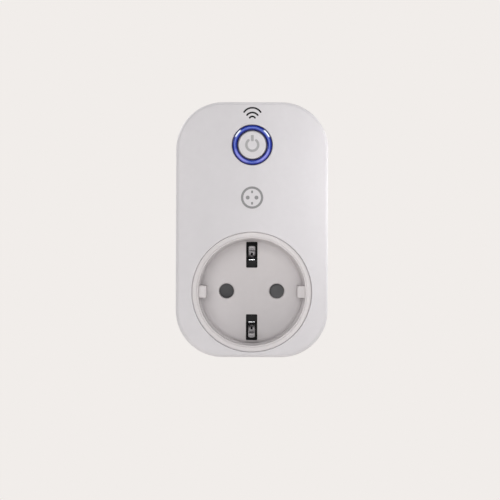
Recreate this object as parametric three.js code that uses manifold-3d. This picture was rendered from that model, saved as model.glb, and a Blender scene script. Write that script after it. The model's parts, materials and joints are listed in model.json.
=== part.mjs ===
// Wi-Fi range extender that plugs into an earthed wall socket and passes the socket through to its face.
// Millimetres. +X is to the viewer's right, +Y goes into the wall, +Z is up.
// The origin is on the plug's axis, in the plane of the back that seats on the wall socket.

import * as THREE from 'three';
import { mergeVertices } from 'three/addons/utils/BufferGeometryUtils.js';
import Module from 'manifold-3d';

const wasm = await Module();
wasm.setup();

// ---- driving dimensions ------------------------------------------------------------------------

// Housing
const BODY_HALF_WIDTH = 28;
const BODY_TOP = 70;
const BODY_BOTTOM = -24;
const BODY_FRONT = -38;
const BODY_BACK = 0;
const CORNER_RADIUS = 17.3;
const EDGE_ROUND = 1.4;
const CORNER_STEPS = 7;
const WALL = 2.2;
const PARTING_FRONT = -13.3;
const PARTING_BACK = -13;
const LIP_DEPTH = 2.5;
const LIP_THICKNESS = 1;
const LIP_GAP = 0.15;
const LIP_ROOT_DEPTH = 2;

// Rear plug: a round boss, two round pins and side earth leaves
const PIN_OFFSET = 9.5;
const PIN_RADIUS = 2.4;
const PIN_LENGTH = 19;
const BOSS_RADIUS = 18.4;
const BOSS_LENGTH = 16.5;
const BOSS_INNER_RADIUS = 16.2;
const KEYWAY_FLOOR = 16.2;
const KEYWAY_HALF_WIDTH = 2.7;
const EARTH_CHANNEL_FLOOR = 15.6;
const EARTH_CHANNEL_HALF_WIDTH = 3.1;
const EARTH_PIN_OFFSET = 10;
const EARTH_PIN_HOLE_RADIUS = 2.6;
const BOSS_EDGE = 1;
const BOSS_WEB = 1.6;
const PIN_GAP = 0.2;
const CHANNEL_START = 0.8;
const KEYWAY_BACKING = 2;
const CHANNEL_BACKING = 1.6;
const PIN = { root: 4, neck: 1.6, collarFront: 12.4, collarBack: 14.1, collar: 3.5, nose: 2.2 };
const YOKE = { front: 12.6, back: 13.4, halfWidth: 2.4, leaf: 0.7, leafFront: 1.6, ring: 3.9 };
const YOKE_PASSAGE = { halfWidth: 2.7, front: 12.3, back: 13.7, depth: 3 };

// Front socket: a round recess with side earth clips
const SOCKET_HOLE_RADIUS = 22.3;
const SOCKET_FACE = -37.4;
const FLANGE_RADIUS = 22.1;
const FLANGE_THICKNESS = 1.4;
const CUP_RADIUS = 21.4;
const MOUTH_RADIUS = 20;
const RECESS_RADIUS = 19.3;
const RECESS_FLOOR = -19.9;
const RECESS_FILLET = 0.9;
const MOUTH_ROUND = 0.6;
const FLANGE_EDGE = 0.2;
const FLOOR_THICKNESS = 2;
const PIN_HOLE_RADIUS = 2.75;
const EARTH_SLOT_HALF_WIDTH = 2.15;
const EARTH_SLOT_INNER = 8.8;
const EARTH_SLOT_OUTER = 18.6;
const GUIDE_HALF_WIDTH = 2.3;
const GUIDE_INNER = 16.8;
const GUIDE_SETBACK = 3;
const CUP_GAP = 0.3;
const LEDGE = { radius: 24.8, depth: 0.9 };
const CUP_SCREW_POST = { radius: 2.4, pilot: 1.4, depth: 1.2 };

// Contact carrier behind the socket
const CARRIER_RADIUS = 19.8;
const CARRIER_FRONT = -15.3;
const CARRIER_BACK = -11.5;
const CONTACT_BORE_RADIUS = 3.6;
const CONTACT_TOWER_RADIUS = 4.5;
const CONTACT_TOWER_BACK = 0.5;
const CARRIER_SCREW_OFFSET = 11.95;
const SPRING_POCKET_RADIUS = 3.5;
const SPRING_POCKET_BACK = -12.3;
const SHUTTER_POST = { radius: 2, front: -17.75 };
const SHUTTER = { reach: 13, halfWidth: 3.5, hub: 4.4, front: -17.6, back: -15.8 };
const SPRING = { radius: 2.75, wire: 0.28, turns: 2.5, front: -14.8, back: -12.8, steps: 30 };
const BRIDGE = { front: -15.2, back: -14.5, halfWidth: 2.4, shoulder: 7.8, ring: 5.2, eye: 3.8 };
const BRIDGE_NECK = { halfWidth: 1.2, reach: 13.4 };
const BRIDGE_TAB = { halfWidth: 1.2, inner: 12.4, outer: 13.2, back: -9.2 };
const STRAP_GAP = 0.25;
const TAB_GAP = 0.4;
const KEEPER = { halfWidth: 2.8, front: -17.3, inner: 8.5, outer: 11.7, gap: 0.3 };
const CLIP = { halfWidth: 1.2, thickness: 0.6, steps: 22 };
const CLIP_LINE = [
  [-15.6, 12.2],
  [-17.4, 12.4],
  [-19.6, 13.6],
  [-21.6, 15.3],
  [-23.8, 16.1],
  [-28, 15.6],
  [-30.4, 16],
  [-31.6, 16.8],
];
const CONTACT = { bore: 2.5, outer: 3.2, front: -11.6, back: -1.4, slitHalf: 0.45, slitBack: -4.4 };
const CONTACT_FLARE = { rim: 0.15, depth: 1.2 };
const CONTACT_TAIL = { halfWidth: 1, front: -2.7, back: -1.9, bottom: 2.8, top: 7.2 };
const TAIL_WAY = { halfWidth: 1.4, back: -1.5, bottom: 2.4, top: 7.8 };

// Power button and light ring
const BUTTON_HEIGHT = 54.2;
const RING_OUTER_RADIUS = 7.4;
const RING_HOLE_RADIUS = 7.6;
const RING_INNER_RADIUS = 5.45;
const RING_FRONT = -38.5;
const RING_BACK = -29.3;
const RING_CROWN = 0.4;
const RING_STEP = 0.55;
const RING_FLANGE = { rim: 1.3, front: -35.5, back: -34.5, stepFront: -35.2 };
const BUTTON_RADIUS = 5.2;
const BUTTON_FRONT = -38.1;
const BUTTON_BACK = -32.35;
const BUTTON_ROUND = 0.4;
const BUTTON_FLANGE = { rim: 0.5, front: -34.9, back: -33.9, stem: 2 };
const SWITCH = { front: -31, back: -27.7, halfWidth: 3, corner: 0.6, bore: 1.95, boreDepth: 1 };
const PLUNGER = { radius: 1.7, gap: 0.3, depth: 0.2 };
const LED = { halfWidth: 0.7, height: 0.8, seat: 0.2 };
const LED_CIRCLE_RADIUS = 6.75;
const LED_COUNT = 4;

// Boards and fasteners
const MAIN_BOARD_FRONT = -21;
const MAIN_BOARD_BACK = -19.4;
const MAIN_BOARD_BOTTOM = 24;
const MAIN_BOARD_INSET = 1.2;
const BUTTON_BOARD_FRONT = -27.5;
const BUTTON_BOARD_BACK = -26.3;
const BUTTON_BOARD_HALF = 12;
const BUTTON_BOARD_CORNER = 1;
const MAIN_BOARD_CORNER = 2;
const MOUNTING_GAP = 0.1;
const POST_CLEARANCE = 0.5;
const POST_RADIUS = 2.6;
const POST_BACK = -14;
const SCREW_SLEEVE_RADIUS = 3.6;
const SCREW_SLEEVE_FRONT = -13.7;
const SCREW_PILOT_RADIUS = 1.5;
const SCREW_SEAT = -8;
const SCREW_BORE_RADIUS = 2.75;
const POST_PILOT_DEPTH = 11;
const BOARD_PILOT_DEPTH = 8;
const BOARD_POST = { x: 21, z: 31, radius: 2.3, pilot: 1.25, hole: 1.3 };
const STAKE_POST = { x: 9.8, z: 9.8, radius: 1.8, stake: 0.8, head: 0.5, hole: 1.1 };
const HOUSING_SCREW = { head: 2.45, shank: 1.25, seat: -7.9, back: -6, tip: -23 };
const BOARD_SCREW = { head: 2.2, shank: 1.05, seat: -19.3, back: -17.8, tip: -27.5 };
const CARRIER_SCREW = { head: 2.3, shank: 1.2, seat: -11.4, back: -9.8, tip: -18.8, hole: 1.5 };
const SCREW_CROSS = { reach: 0.6, halfWidth: 0.3, depth: 0.8, crown: 0.4, rim: 0.5, point: 1.6 };
const BOARD_CORNER_STEPS = 3;
const WIRE = { radius: 1, steps: 15, segments: 3 };

// Parts of the electronics: blocks are [left, right], height or [front, back], [bottom, top]
const RELAY = [[-14.5, 14.5], 15.7, [29, 41.7]];
const FILM_CAPACITOR = [[-22.4, -10.4], 11, [44.5, 49.9]];
const RECTIFIER = [[-23, -16.5], 2.6, [35, 43]];
const TRANSFORMER = {
  core: [[-7.5, 7.5], 12, [45.5, 54.5]],
  window: [[-5.4, 5.4], [-17.1, -9.5], [44, 56]],
  winding: [[-5.2, 5.2], 9.6, [43.6, 56.4]],
  foot: [[-6.4, 6.4], 1.8, [43, 57]],
};
const FILTER_CAPACITOR = { x: 14.8, z: 50.5, radius: 5, height: 13, crimp: 2, crimpDepth: 0.4 };
const VARISTOR = { x: -15.5, z: 52.6, radius: 5, thickness: 4, lift: 6 };
const FUSE = { x: 19.6, z: 39, radius: 2.1, height: 7.9 };
const WIFI_MODULE = [[-12, 12], [-21.9, -21.1], [25.5, 41.5]];
const SHIELD_CAN = [[-8.5, 10.5], [-24.4, -22], [26.8, 40.2]];
const BOARD_LINK = [[-5, 5], [-26.2, -21.1], [61.5, 64]];

// Wires: the centreline of each insulated wire as X, Y and Z
const SUPPLY_WIRE_PATH = [
  [-9.5, 6.5, 2.9],
  [-9.9, 6.4, 5.6],
  [-11, 3.4, 8.2],
  [-11.4, -1, 9],
  [-12.4, -4.2, 11],
  [-13.2, -7, 14.4],
  [-13.4, -9.4, 18.6],
  [-13, -13.4, 23.2],
  [-12.7, -16.6, 25.7],
  [-12.6, -18.9, 26.2],
];
const CONTACT_WIRE_PATH = [
  [-9.2, -2.4, 8.3],
  [-8, -4.6, 10.2],
  [-6.8, -6.8, 14.8],
  [-6.2, -10.5, 20.2],
  [-6, -13.8, 23.8],
  [-5.8, -16.8, 25.8],
  [-5.8, -18.9, 26.2],
];
const EARTH_WIRE_PATH = [
  [0, -8.9, 12.9],
  [0, -5, 13.2],
  [0, 1, 10.6],
  [0, 6.6, 5.6],
  [0, 12.3, 3.4],
];

// How far a cutting tool runs past the surface it opens, and how far a joined piece is sunk in.
const PAST = 1;
const SUNK = 0.5;

// Sides of a round: fine where it shows, coarse where it hides.
const SIDES = {
  recess: 44,
  large: 40,
  body: 36,
  disc: 32,
  ring: 28,
  medium: 24,
  post: 20,
  small: 16,
  hidden: 10,
};

const HOUSING_SCREWS = [
  [-18.9, -15.6],
  [18.9, -15.6],
  [-18.5, 60.5],
  [18.5, 60.5],
];

// ---- shape helpers -----------------------------------------------------------------------------

const MERGE_TOLERANCE = 1e-4;
const FLAT_TOLERANCE = 0.002;

function triangleSolid(positions, triangles) {
  return new wasm.Manifold(new wasm.Mesh({
    numProp: 3,
    vertProperties: positions,
    triVerts: Uint32Array.from(triangles),
  }));
}

// A closed geometry as a solid with its faces pointing out.
function toSolid(geometry) {
  const bare = geometry.clone();
  bare.deleteAttribute('normal');
  bare.deleteAttribute('uv');
  const merged = mergeVertices(bare, MERGE_TOLERANCE);
  const index = merged.index.array;
  const triangles = [];
  const flipped = [];
  for (let i = 0; i < index.length; i += 3) {
    const [a, b, c] = index.slice(i, i + 3);
    if (a !== b && b !== c && c !== a) {
      triangles.push(a, b, c);
      flipped.push(a, c, b);
    }
  }
  const positions = merged.attributes.position.array;
  const solid = triangleSolid(positions, triangles);
  return solid.volume() > 0 ? solid : triangleSolid(positions, flipped);
}

function toGeometry(solid) {
  const mesh = solid.asOriginal().simplify(FLAT_TOLERANCE).getMesh();
  const geometry = new THREE.BufferGeometry();
  geometry.setAttribute('position', new THREE.BufferAttribute(mesh.vertProperties, 3));
  geometry.setIndex(new THREE.BufferAttribute(mesh.triVerts, 1));
  geometry.computeVertexNormals();
  return geometry;
}

function join(...solids) {
  return solids.reduce((sum, solid) => sum.add(solid));
}

function cut(base, ...tools) {
  return tools.reduce((left, tool) => left.subtract(tool), base);
}

// A shape drawn in X and Z, extruded along Y.
function slab(shape, front, back, curveSegments = CORNER_STEPS) {
  const geometry = new THREE.ExtrudeGeometry(shape, {
    depth: back - front,
    bevelEnabled: false,
    curveSegments,
  });
  return toSolid(geometry.rotateX(Math.PI / 2).translate(0, back, 0));
}

// A shape drawn in Y and Z, extruded across X.
function sheet(shape, left, right) {
  const geometry = new THREE.ExtrudeGeometry(shape, { depth: right - left, bevelEnabled: false });
  const turn = new THREE.Matrix4().makeBasis(
    new THREE.Vector3(0, 1, 0),
    new THREE.Vector3(0, 0, 1),
    new THREE.Vector3(1, 0, 0),
  );
  return toSolid(geometry.applyMatrix4(turn).translate(left, 0, 0));
}

function block([left, right], [front, back], [bottom, top]) {
  const geometry = new THREE.BoxGeometry(right - left, back - front, top - bottom);
  return toSolid(geometry.translate((left + right) / 2, (front + back) / 2, (bottom + top) / 2));
}

// A cylinder along Y.
function rod(x, z, radius, front, back, sides = SIDES.small) {
  const geometry = new THREE.CylinderGeometry(radius, radius, back - front, sides);
  return toSolid(geometry.translate(x, (front + back) / 2, z));
}

// A profile of [radius, y] pairs turned about an axis along Y.
function turned(profile, x = 0, z = 0, sides = SIDES.body) {
  const points = profile.map(([radius, y]) => new THREE.Vector2(radius, y));
  return toSolid(new THREE.LatheGeometry(points, sides).translate(x, 0, z));
}

function closed(profile) {
  return [...profile, profile[0]];
}

// One result for the -X (or -Z) side and one for the other.
function onBothSides(make) {
  return [-1, 1].map(make);
}

// The range between two distances from the middle, on one side of it.
function rangeOn(side, near, far) {
  return side > 0 ? [near, far] : [-far, -near];
}

function roundedOutline(halfWidth, bottom, top, lowRadius, highRadius = lowRadius) {
  const shape = new THREE.Shape();
  const quarter = Math.PI / 2;
  shape.absarc(halfWidth - highRadius, top - highRadius, highRadius, 0, quarter);
  shape.absarc(highRadius - halfWidth, top - highRadius, highRadius, quarter, 2 * quarter);
  shape.absarc(lowRadius - halfWidth, bottom + lowRadius, lowRadius, 2 * quarter, 3 * quarter);
  shape.absarc(halfWidth - lowRadius, bottom + lowRadius, lowRadius, 3 * quarter, 4 * quarter);
  shape.closePath();
  return shape;
}

// The housing's outline, moved inwards by an inset.
function bodyOutline(inset) {
  return roundedOutline(
    BODY_HALF_WIDTH - inset,
    BODY_BOTTOM + inset,
    BODY_TOP - inset,
    CORNER_RADIUS - inset,
  );
}

// A strip of even thickness along a smooth line through points in Y and Z.
function leafShape(points, thickness, steps) {
  const line = new THREE.SplineCurve(points.map(([y, z]) => new THREE.Vector2(y, z)));
  const upper = [];
  const lower = [];
  for (let i = 0; i <= steps; i += 1) {
    const at = line.getPoint(i / steps);
    const along = line.getTangent(i / steps);
    const side = new THREE.Vector2(-along.y, along.x).multiplyScalar(thickness / 2);
    upper.push(at.clone().add(side));
    lower.unshift(at.clone().sub(side));
  }
  return new THREE.Shape([...upper, ...lower]);
}

// A round strand along a curve.
function strand(path, radius, steps) {
  const section = new THREE.Shape().absarc(0, 0, radius, 0, 2 * Math.PI);
  return toSolid(new THREE.ExtrudeGeometry(section, {
    steps,
    extrudePath: path,
    curveSegments: WIRE.segments,
    bevelEnabled: false,
  }));
}

function wire(points) {
  const path = new THREE.CatmullRomCurve3(points.map((point) => new THREE.Vector3(...point)));
  return strand(path, WIRE.radius, WIRE.steps);
}

function mirroredInX(points) {
  return points.map(([x, y, z]) => [-x, y, z]);
}

// ---- materials ---------------------------------------------------------------------------------

function material(color, roughness, metalness = 0) {
  return new THREE.MeshStandardMaterial({ color, roughness, metalness });
}

const shellPlastic = material(0xd2cfd2, 0.5);
const socketPlastic = material(0xcfcac9, 0.48);
const ringPlastic = material(0x4a68d8, 0.15);
const buttonPlastic = material(0xcdccd2, 0.42);
const blackPlastic = material(0x1c1c1e, 0.55);
const shutterPlastic = material(0x3a3a3d, 0.5);
const springSteel = material(0xb4b6b8, 0.35, 1);
const brass = material(0xb9974f, 0.35, 1);
const tinnedSteel = material(0xc9cbd0, 0.3, 1);
const nickelPlate = material(0xc4c2bc, 0.28, 1);
const zincSteel = material(0xa9adb3, 0.4, 1);
const circuitBoard = material(0x1f5a36, 0.5);
const moduleBoard = material(0x14202c, 0.5);
const relayCase = material(0x23457e, 0.45);
const capacitorSleeve = material(0x1d2330, 0.4);
const filmCase = material(0xc9a53a, 0.45);
const varistorCoat = material(0x2f5fae, 0.5);
const fuseBody = material(0x8a5a35, 0.6);
const chipEpoxy = material(0x202224, 0.6);
const ferrite = material(0x3b3a3c, 0.7);
const ledBody = material(0xe8ecf4, 0.3);
const brownInsulation = material(0x5b3420, 0.5);
const blueInsulation = material(0x2a56b0, 0.5);
const earthInsulation = material(0x6fa32f, 0.5);
const headerPlastic = material(0x222224, 0.55);

// ---- housing -----------------------------------------------------------------------------------

function bodyEnvelope() {
  const geometry = new THREE.ExtrudeGeometry(bodyOutline(0), {
    depth: BODY_BACK - BODY_FRONT - 2 * EDGE_ROUND,
    bevelThickness: EDGE_ROUND,
    bevelSize: EDGE_ROUND,
    bevelOffset: -EDGE_ROUND,
    bevelSegments: 2,
    curveSegments: CORNER_STEPS,
  });
  return toSolid(geometry.rotateX(Math.PI / 2).translate(0, BODY_BACK - EDGE_ROUND, 0));
}

function bodySlice(front, back) {
  const reach = 2 * BODY_TOP;
  return bodyEnvelope().intersect(block([-reach, reach], [front, back], [-reach, reach]));
}

function stakePosts(radius, front, back) {
  return onBothSides((side) => onBothSides((level) => {
    const x = side * STAKE_POST.x;
    const z = BUTTON_HEIGHT + level * STAKE_POST.z;
    return rod(x, z, radius, front, back, SIDES.hidden);
  })).flat();
}

function boardPosts(radius, front, back) {
  return onBothSides((side) => rod(side * BOARD_POST.x, BOARD_POST.z, radius, front, back, SIDES.hidden));
}

function atHousingScrews(radius, front, back, sides) {
  return HOUSING_SCREWS.map(([x, z]) => rod(x, z, radius, front, back, sides));
}

function frontCover() {
  const inside = BODY_FRONT + WALL;
  const rooted = inside - SUNK;
  const shell = cut(
    bodySlice(BODY_FRONT - PAST, PARTING_FRONT),
    slab(bodyOutline(WALL), inside, PARTING_FRONT + PAST),
  );
  const ledgeFront = SOCKET_FACE + FLANGE_THICKNESS + MOUNTING_GAP;
  const ledge = rod(0, 0, LEDGE.radius, ledgeFront, inside + LEDGE.depth, SIDES.large)
    .intersect(bodySlice(BODY_FRONT, PARTING_FRONT));
  const body = join(
    shell,
    ledge,
    ...atHousingScrews(POST_RADIUS, rooted, POST_BACK),
    ...boardPosts(BOARD_POST.radius, rooted, MAIN_BOARD_FRONT - MOUNTING_GAP),
    ...stakePosts(STAKE_POST.radius, rooted, BUTTON_BOARD_FRONT - MOUNTING_GAP),
    ...stakePosts(STAKE_POST.stake, rooted, BUTTON_BOARD_BACK + STAKE_POST.head),
  );
  return cut(
    body,
    rod(0, 0, SOCKET_HOLE_RADIUS, BODY_FRONT - PAST, ledgeFront, SIDES.large),
    rod(0, 0, CUP_RADIUS + CUP_GAP, BODY_FRONT - PAST, PARTING_FRONT, SIDES.large),
    rod(0, BUTTON_HEIGHT, RING_HOLE_RADIUS, BODY_FRONT - PAST, inside + PAST, SIDES.ring),
    ...atHousingScrews(SCREW_PILOT_RADIUS, POST_BACK - POST_PILOT_DEPTH, POST_BACK + PAST, SIDES.hidden),
    ...boardPosts(BOARD_POST.pilot, MAIN_BOARD_FRONT - BOARD_PILOT_DEPTH, MAIN_BOARD_FRONT + PAST),
  );
}

// The boss's hollow, kept clear of the side keyways and of the earth channels.
function bossHollow() {
  const far = BOSS_RADIUS + PAST;
  const back = BOSS_LENGTH - WALL;
  const length = [CHANNEL_START - BOSS_WEB - WALL, back + PAST];
  const keyHalf = KEYWAY_HALF_WIDTH + BOSS_WEB;
  const channelHalf = EARTH_CHANNEL_HALF_WIDTH + BOSS_WEB;
  const keyWalls = onBothSides((side) => (
    block(rangeOn(side, KEYWAY_FLOOR - KEYWAY_BACKING, far), length, [-keyHalf, keyHalf])
  ));
  const channelWalls = onBothSides((side) => (
    block([-channelHalf, channelHalf], length, rangeOn(side, EARTH_CHANNEL_FLOOR - CHANNEL_BACKING, far))
  ));
  const hollow = rod(0, 0, BOSS_INNER_RADIUS, -WALL - SUNK, back, SIDES.disc);
  return cut(hollow, ...keyWalls, ...channelWalls);
}

function plugBoss() {
  const boss = turned([
    [0, -WALL],
    [BOSS_RADIUS, -WALL],
    [BOSS_RADIUS, BOSS_LENGTH - BOSS_EDGE],
    [BOSS_RADIUS - 0.3 * BOSS_EDGE, BOSS_LENGTH - 0.3 * BOSS_EDGE],
    [BOSS_RADIUS - BOSS_EDGE, BOSS_LENGTH],
    [0, BOSS_LENGTH],
  ]);
  const far = BOSS_RADIUS + PAST;
  const length = [CHANNEL_START, BOSS_LENGTH + PAST];
  const keyways = onBothSides((side) => (
    block(rangeOn(side, KEYWAY_FLOOR, far), length, [-KEYWAY_HALF_WIDTH, KEYWAY_HALF_WIDTH])
  ));
  const channels = onBothSides((side) => block(
    [-EARTH_CHANNEL_HALF_WIDTH, EARTH_CHANNEL_HALF_WIDTH],
    length,
    rangeOn(side, EARTH_CHANNEL_FLOOR, far),
  ));
  const passages = onBothSides((side) => block(
    [-YOKE_PASSAGE.halfWidth, YOKE_PASSAGE.halfWidth],
    [YOKE_PASSAGE.front, YOKE_PASSAGE.back],
    rangeOn(side, EARTH_CHANNEL_FLOOR - YOKE_PASSAGE.depth, far),
  ));
  return cut(boss, ...keyways, ...channels, ...passages);
}

// The tongue around the seam that sits inside the front cover, with its foot on the rear wall.
function seamLip() {
  const outer = WALL + LIP_GAP;
  const inner = slab(bodyOutline(outer + LIP_THICKNESS), PARTING_BACK - 2 * LIP_DEPTH, -WALL);
  const front = PARTING_BACK - LIP_DEPTH;
  const tongue = slab(bodyOutline(outer), front, PARTING_BACK + LIP_ROOT_DEPTH);
  const foot = slab(bodyOutline(WALL / 2), PARTING_BACK, PARTING_BACK + LIP_ROOT_DEPTH);
  const gaps = atHousingScrews(POST_RADIUS + POST_CLEARANCE, front - PAST, SCREW_SLEEVE_FRONT);
  return join(cut(tongue, inner, ...gaps), cut(foot, inner));
}

function rearHousing() {
  const shell = cut(
    bodySlice(PARTING_BACK, BODY_BACK + PAST),
    slab(bodyOutline(WALL), PARTING_BACK - PAST, -WALL),
  );
  const sleeveLimit = slab(bodyOutline(WALL + LIP_GAP), SCREW_SLEEVE_FRONT - PAST, BODY_BACK);
  const sleeves = join(...atHousingScrews(SCREW_SLEEVE_RADIUS, SCREW_SLEEVE_FRONT, SUNK - WALL));
  const endWall = [BOSS_LENGTH - WALL - PAST, BOSS_LENGTH + PAST];
  return cut(
    join(shell, seamLip(), sleeves.intersect(sleeveLimit), plugBoss()),
    bossHollow(),
    ...atHousingScrews(SCREW_BORE_RADIUS, SCREW_SEAT, BODY_BACK + PAST),
    ...atHousingScrews(SCREW_PILOT_RADIUS, SCREW_SLEEVE_FRONT - PAST, SCREW_SEAT + SUNK, SIDES.hidden),
    ...onBothSides((side) => rod(side * PIN_OFFSET, 0, PIN_RADIUS + PIN_GAP, ...endWall)),
    rod(0, EARTH_PIN_OFFSET, EARTH_PIN_HOLE_RADIUS, ...endWall),
  );
}

// ---- rear plug ---------------------------------------------------------------------------------

function plugPin(side) {
  const tip = BOSS_LENGTH + PIN_LENGTH;
  return turned([
    [0, PIN.root],
    [PIN.neck, PIN.root],
    [PIN.neck, PIN.collarFront],
    [PIN.collar, PIN.collarFront],
    [PIN.collar, PIN.collarBack],
    [PIN_RADIUS, PIN.collarBack],
    [PIN_RADIUS, tip - PIN.nose],
    [0.85 * PIN_RADIUS, tip - 0.4 * PIN.nose],
    [0.55 * PIN_RADIUS, tip - 0.1 * PIN.nose],
    [0, tip],
  ], side * PIN_OFFSET, 0, SIDES.small);
}

// A stamped strap behind the boss's end wall, with a leaf along each earth channel.
function plugEarthYoke() {
  const inner = EARTH_CHANNEL_FLOOR + PIN_GAP;
  const outer = inner + YOKE.leaf;
  const leafBack = BOSS_LENGTH - SUNK;
  const half = [
    [YOKE.back, inner],
    [leafBack, inner],
    [leafBack, outer],
    [YOKE.leafFront, outer],
    [YOKE.leafFront, inner],
    [YOKE.front, inner],
  ];
  const otherHalf = half.map(([y, z]) => [y, -z]).reverse();
  const outline = new THREE.Shape([...half, ...otherHalf].map(([y, z]) => new THREE.Vector2(y, z)));
  const eye = rod(0, EARTH_PIN_OFFSET, YOKE.ring, YOKE.front, YOKE.back, SIDES.medium);
  const hole = EARTH_PIN_HOLE_RADIUS - MOUNTING_GAP;
  return cut(
    join(sheet(outline, -YOKE.halfWidth, YOKE.halfWidth), eye),
    rod(0, EARTH_PIN_OFFSET, hole, YOKE.front - PAST, YOKE.back + PAST, SIDES.medium),
  );
}

// ---- front socket ------------------------------------------------------------------------------

function socketInsert() {
  const cupBack = RECESS_FLOOR + FLOOR_THICKNESS;
  const flangeBack = SOCKET_FACE + FLANGE_THICKNESS;
  const cup = turned([
    [0, RECESS_FLOOR],
    [RECESS_RADIUS - RECESS_FILLET, RECESS_FLOOR],
    [RECESS_RADIUS - 0.3 * RECESS_FILLET, RECESS_FLOOR - 0.3 * RECESS_FILLET],
    [RECESS_RADIUS, RECESS_FLOOR - RECESS_FILLET],
    [MOUTH_RADIUS - 0.3 * MOUTH_ROUND, SOCKET_FACE + MOUTH_ROUND],
    [MOUTH_RADIUS + 0.2 * MOUTH_ROUND, SOCKET_FACE + 0.25 * MOUTH_ROUND],
    [MOUTH_RADIUS + 0.8 * MOUTH_ROUND, SOCKET_FACE],
    [FLANGE_RADIUS - FLANGE_EDGE, SOCKET_FACE],
    [FLANGE_RADIUS, SOCKET_FACE + FLANGE_EDGE],
    [FLANGE_RADIUS, flangeBack],
    [CUP_RADIUS, flangeBack],
    [CUP_RADIUS, cupBack],
    [0, cupBack],
  ], 0, 0, SIDES.recess);
  const wallInside = MOUTH_RADIUS + MOUTH_ROUND;
  const ribLength = [SOCKET_FACE + GUIDE_SETBACK, RECESS_FLOOR + SUNK];
  const ribs = onBothSides((side) => (
    block(rangeOn(side, GUIDE_INNER, wallInside), ribLength, [-GUIDE_HALF_WIDTH, GUIDE_HALF_WIDTH])
  ));
  const atCarrierScrews = (radius, front, back) => onBothSides((side) => (
    rod(side * CARRIER_SCREW_OFFSET, side * CARRIER_SCREW_OFFSET, radius, front, back, SIDES.hidden)
  ));
  const posts = atCarrierScrews(CUP_SCREW_POST.radius, cupBack - SUNK, CARRIER_FRONT - MOUNTING_GAP);
  const pilotFront = cupBack - CUP_SCREW_POST.depth;
  const pilots = atCarrierScrews(CUP_SCREW_POST.pilot, pilotFront, CARRIER_FRONT + PAST);
  const floor = [RECESS_FLOOR - PAST, cupBack + PAST];
  const pinHoles = onBothSides((side) => (
    rod(side * PIN_OFFSET, 0, PIN_HOLE_RADIUS, ...floor, SIDES.medium)
  ));
  const slots = onBothSides((side) => block(
    [-EARTH_SLOT_HALF_WIDTH, EARTH_SLOT_HALF_WIDTH],
    floor,
    rangeOn(side, EARTH_SLOT_INNER, EARTH_SLOT_OUTER),
  ));
  return cut(join(cup, ...ribs, ...posts), ...pilots, ...pinHoles, ...slots);
}

function earthClip(side) {
  const line = CLIP_LINE.map(([y, z]) => [y, side * z]);
  return sheet(leafShape(line, CLIP.thickness, CLIP.steps), -CLIP.halfWidth, CLIP.halfWidth);
}

// The earth strap's outline: a bar with narrow ends and a centre ring round the shutter's spring.
function bridgeBlank(front, back, grow) {
  const half = BRIDGE.halfWidth + grow;
  const shoulder = BRIDGE.shoulder + grow;
  const neck = BRIDGE_NECK.halfWidth + grow;
  const reach = BRIDGE_NECK.reach + grow;
  return join(
    block([-half, half], [front, back], [-shoulder, shoulder]),
    block([-neck, neck], [front, back], [-reach, reach]),
    rod(0, 0, BRIDGE.ring + grow, front, back, SIDES.ring),
  );
}

function earthBridge() {
  const eye = rod(0, 0, BRIDGE.eye, BRIDGE.front - PAST, BRIDGE.back + PAST, SIDES.medium);
  const tab = block(
    [-BRIDGE_TAB.halfWidth, BRIDGE_TAB.halfWidth],
    [BRIDGE.back - SUNK, BRIDGE_TAB.back],
    [BRIDGE_TAB.inner, BRIDGE_TAB.outer],
  );
  return join(cut(bridgeBlank(BRIDGE.front, BRIDGE.back, 0), eye), tab);
}

// A loop over the strap's narrow end, behind the earth slot, that holds the strap down.
function strapKeeper(side) {
  const rise = rangeOn(side, KEEPER.inner, KEEPER.outer);
  const legInner = BRIDGE_NECK.halfWidth + STRAP_GAP;
  const legs = onBothSides((hand) => (
    block(rangeOn(hand, legInner, KEEPER.halfWidth), [KEEPER.front, CARRIER_FRONT + SUNK], rise)
  ));
  const top = block(
    [-KEEPER.halfWidth, KEEPER.halfWidth],
    [KEEPER.front, BRIDGE.front - KEEPER.gap],
    rise,
  );
  return join(top, ...legs);
}

function contactCarrier() {
  const front = CARRIER_FRONT - PAST;
  const through = [front, CARRIER_BACK + PAST];
  const disc = cut(
    rod(0, 0, CARRIER_RADIUS, CARRIER_FRONT, CARRIER_BACK, SIDES.disc),
    bridgeBlank(front, BRIDGE.back + PIN_GAP, STRAP_GAP),
    rod(0, 0, SPRING_POCKET_RADIUS, front, SPRING_POCKET_BACK, SIDES.medium),
    block(
      [-BRIDGE_TAB.halfWidth - TAB_GAP, BRIDGE_TAB.halfWidth + TAB_GAP],
      through,
      [BRIDGE_TAB.inner - TAB_GAP, BRIDGE_TAB.outer + TAB_GAP],
    ),
  );
  const post = rod(0, 0, SHUTTER_POST.radius, SHUTTER_POST.front, CARRIER_BACK - SUNK, SIDES.post);
  const atContacts = (radius, ...length) => onBothSides((side) => (
    rod(side * PIN_OFFSET, 0, radius, ...length, SIDES.small)
  ));
  const towers = atContacts(CONTACT_TOWER_RADIUS, CARRIER_BACK - SUNK, CONTACT_TOWER_BACK);
  const bores = atContacts(CONTACT_BORE_RADIUS, front, CONTACT_TOWER_BACK - PAST);
  const tailWays = onBothSides((side) => {
    const x = side * PIN_OFFSET;
    const width = [x - TAIL_WAY.halfWidth, x + TAIL_WAY.halfWidth];
    return block(width, [front, TAIL_WAY.back], [TAIL_WAY.bottom, TAIL_WAY.top]);
  });
  const screwHoles = onBothSides((side) => {
    const at = side * CARRIER_SCREW_OFFSET;
    return rod(at, at, CARRIER_SCREW.hole, ...through, SIDES.hidden);
  });
  const body = join(disc, post, ...towers, ...onBothSides(strapKeeper));
  return cut(body, ...bores, ...tailWays, ...screwHoles);
}

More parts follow.
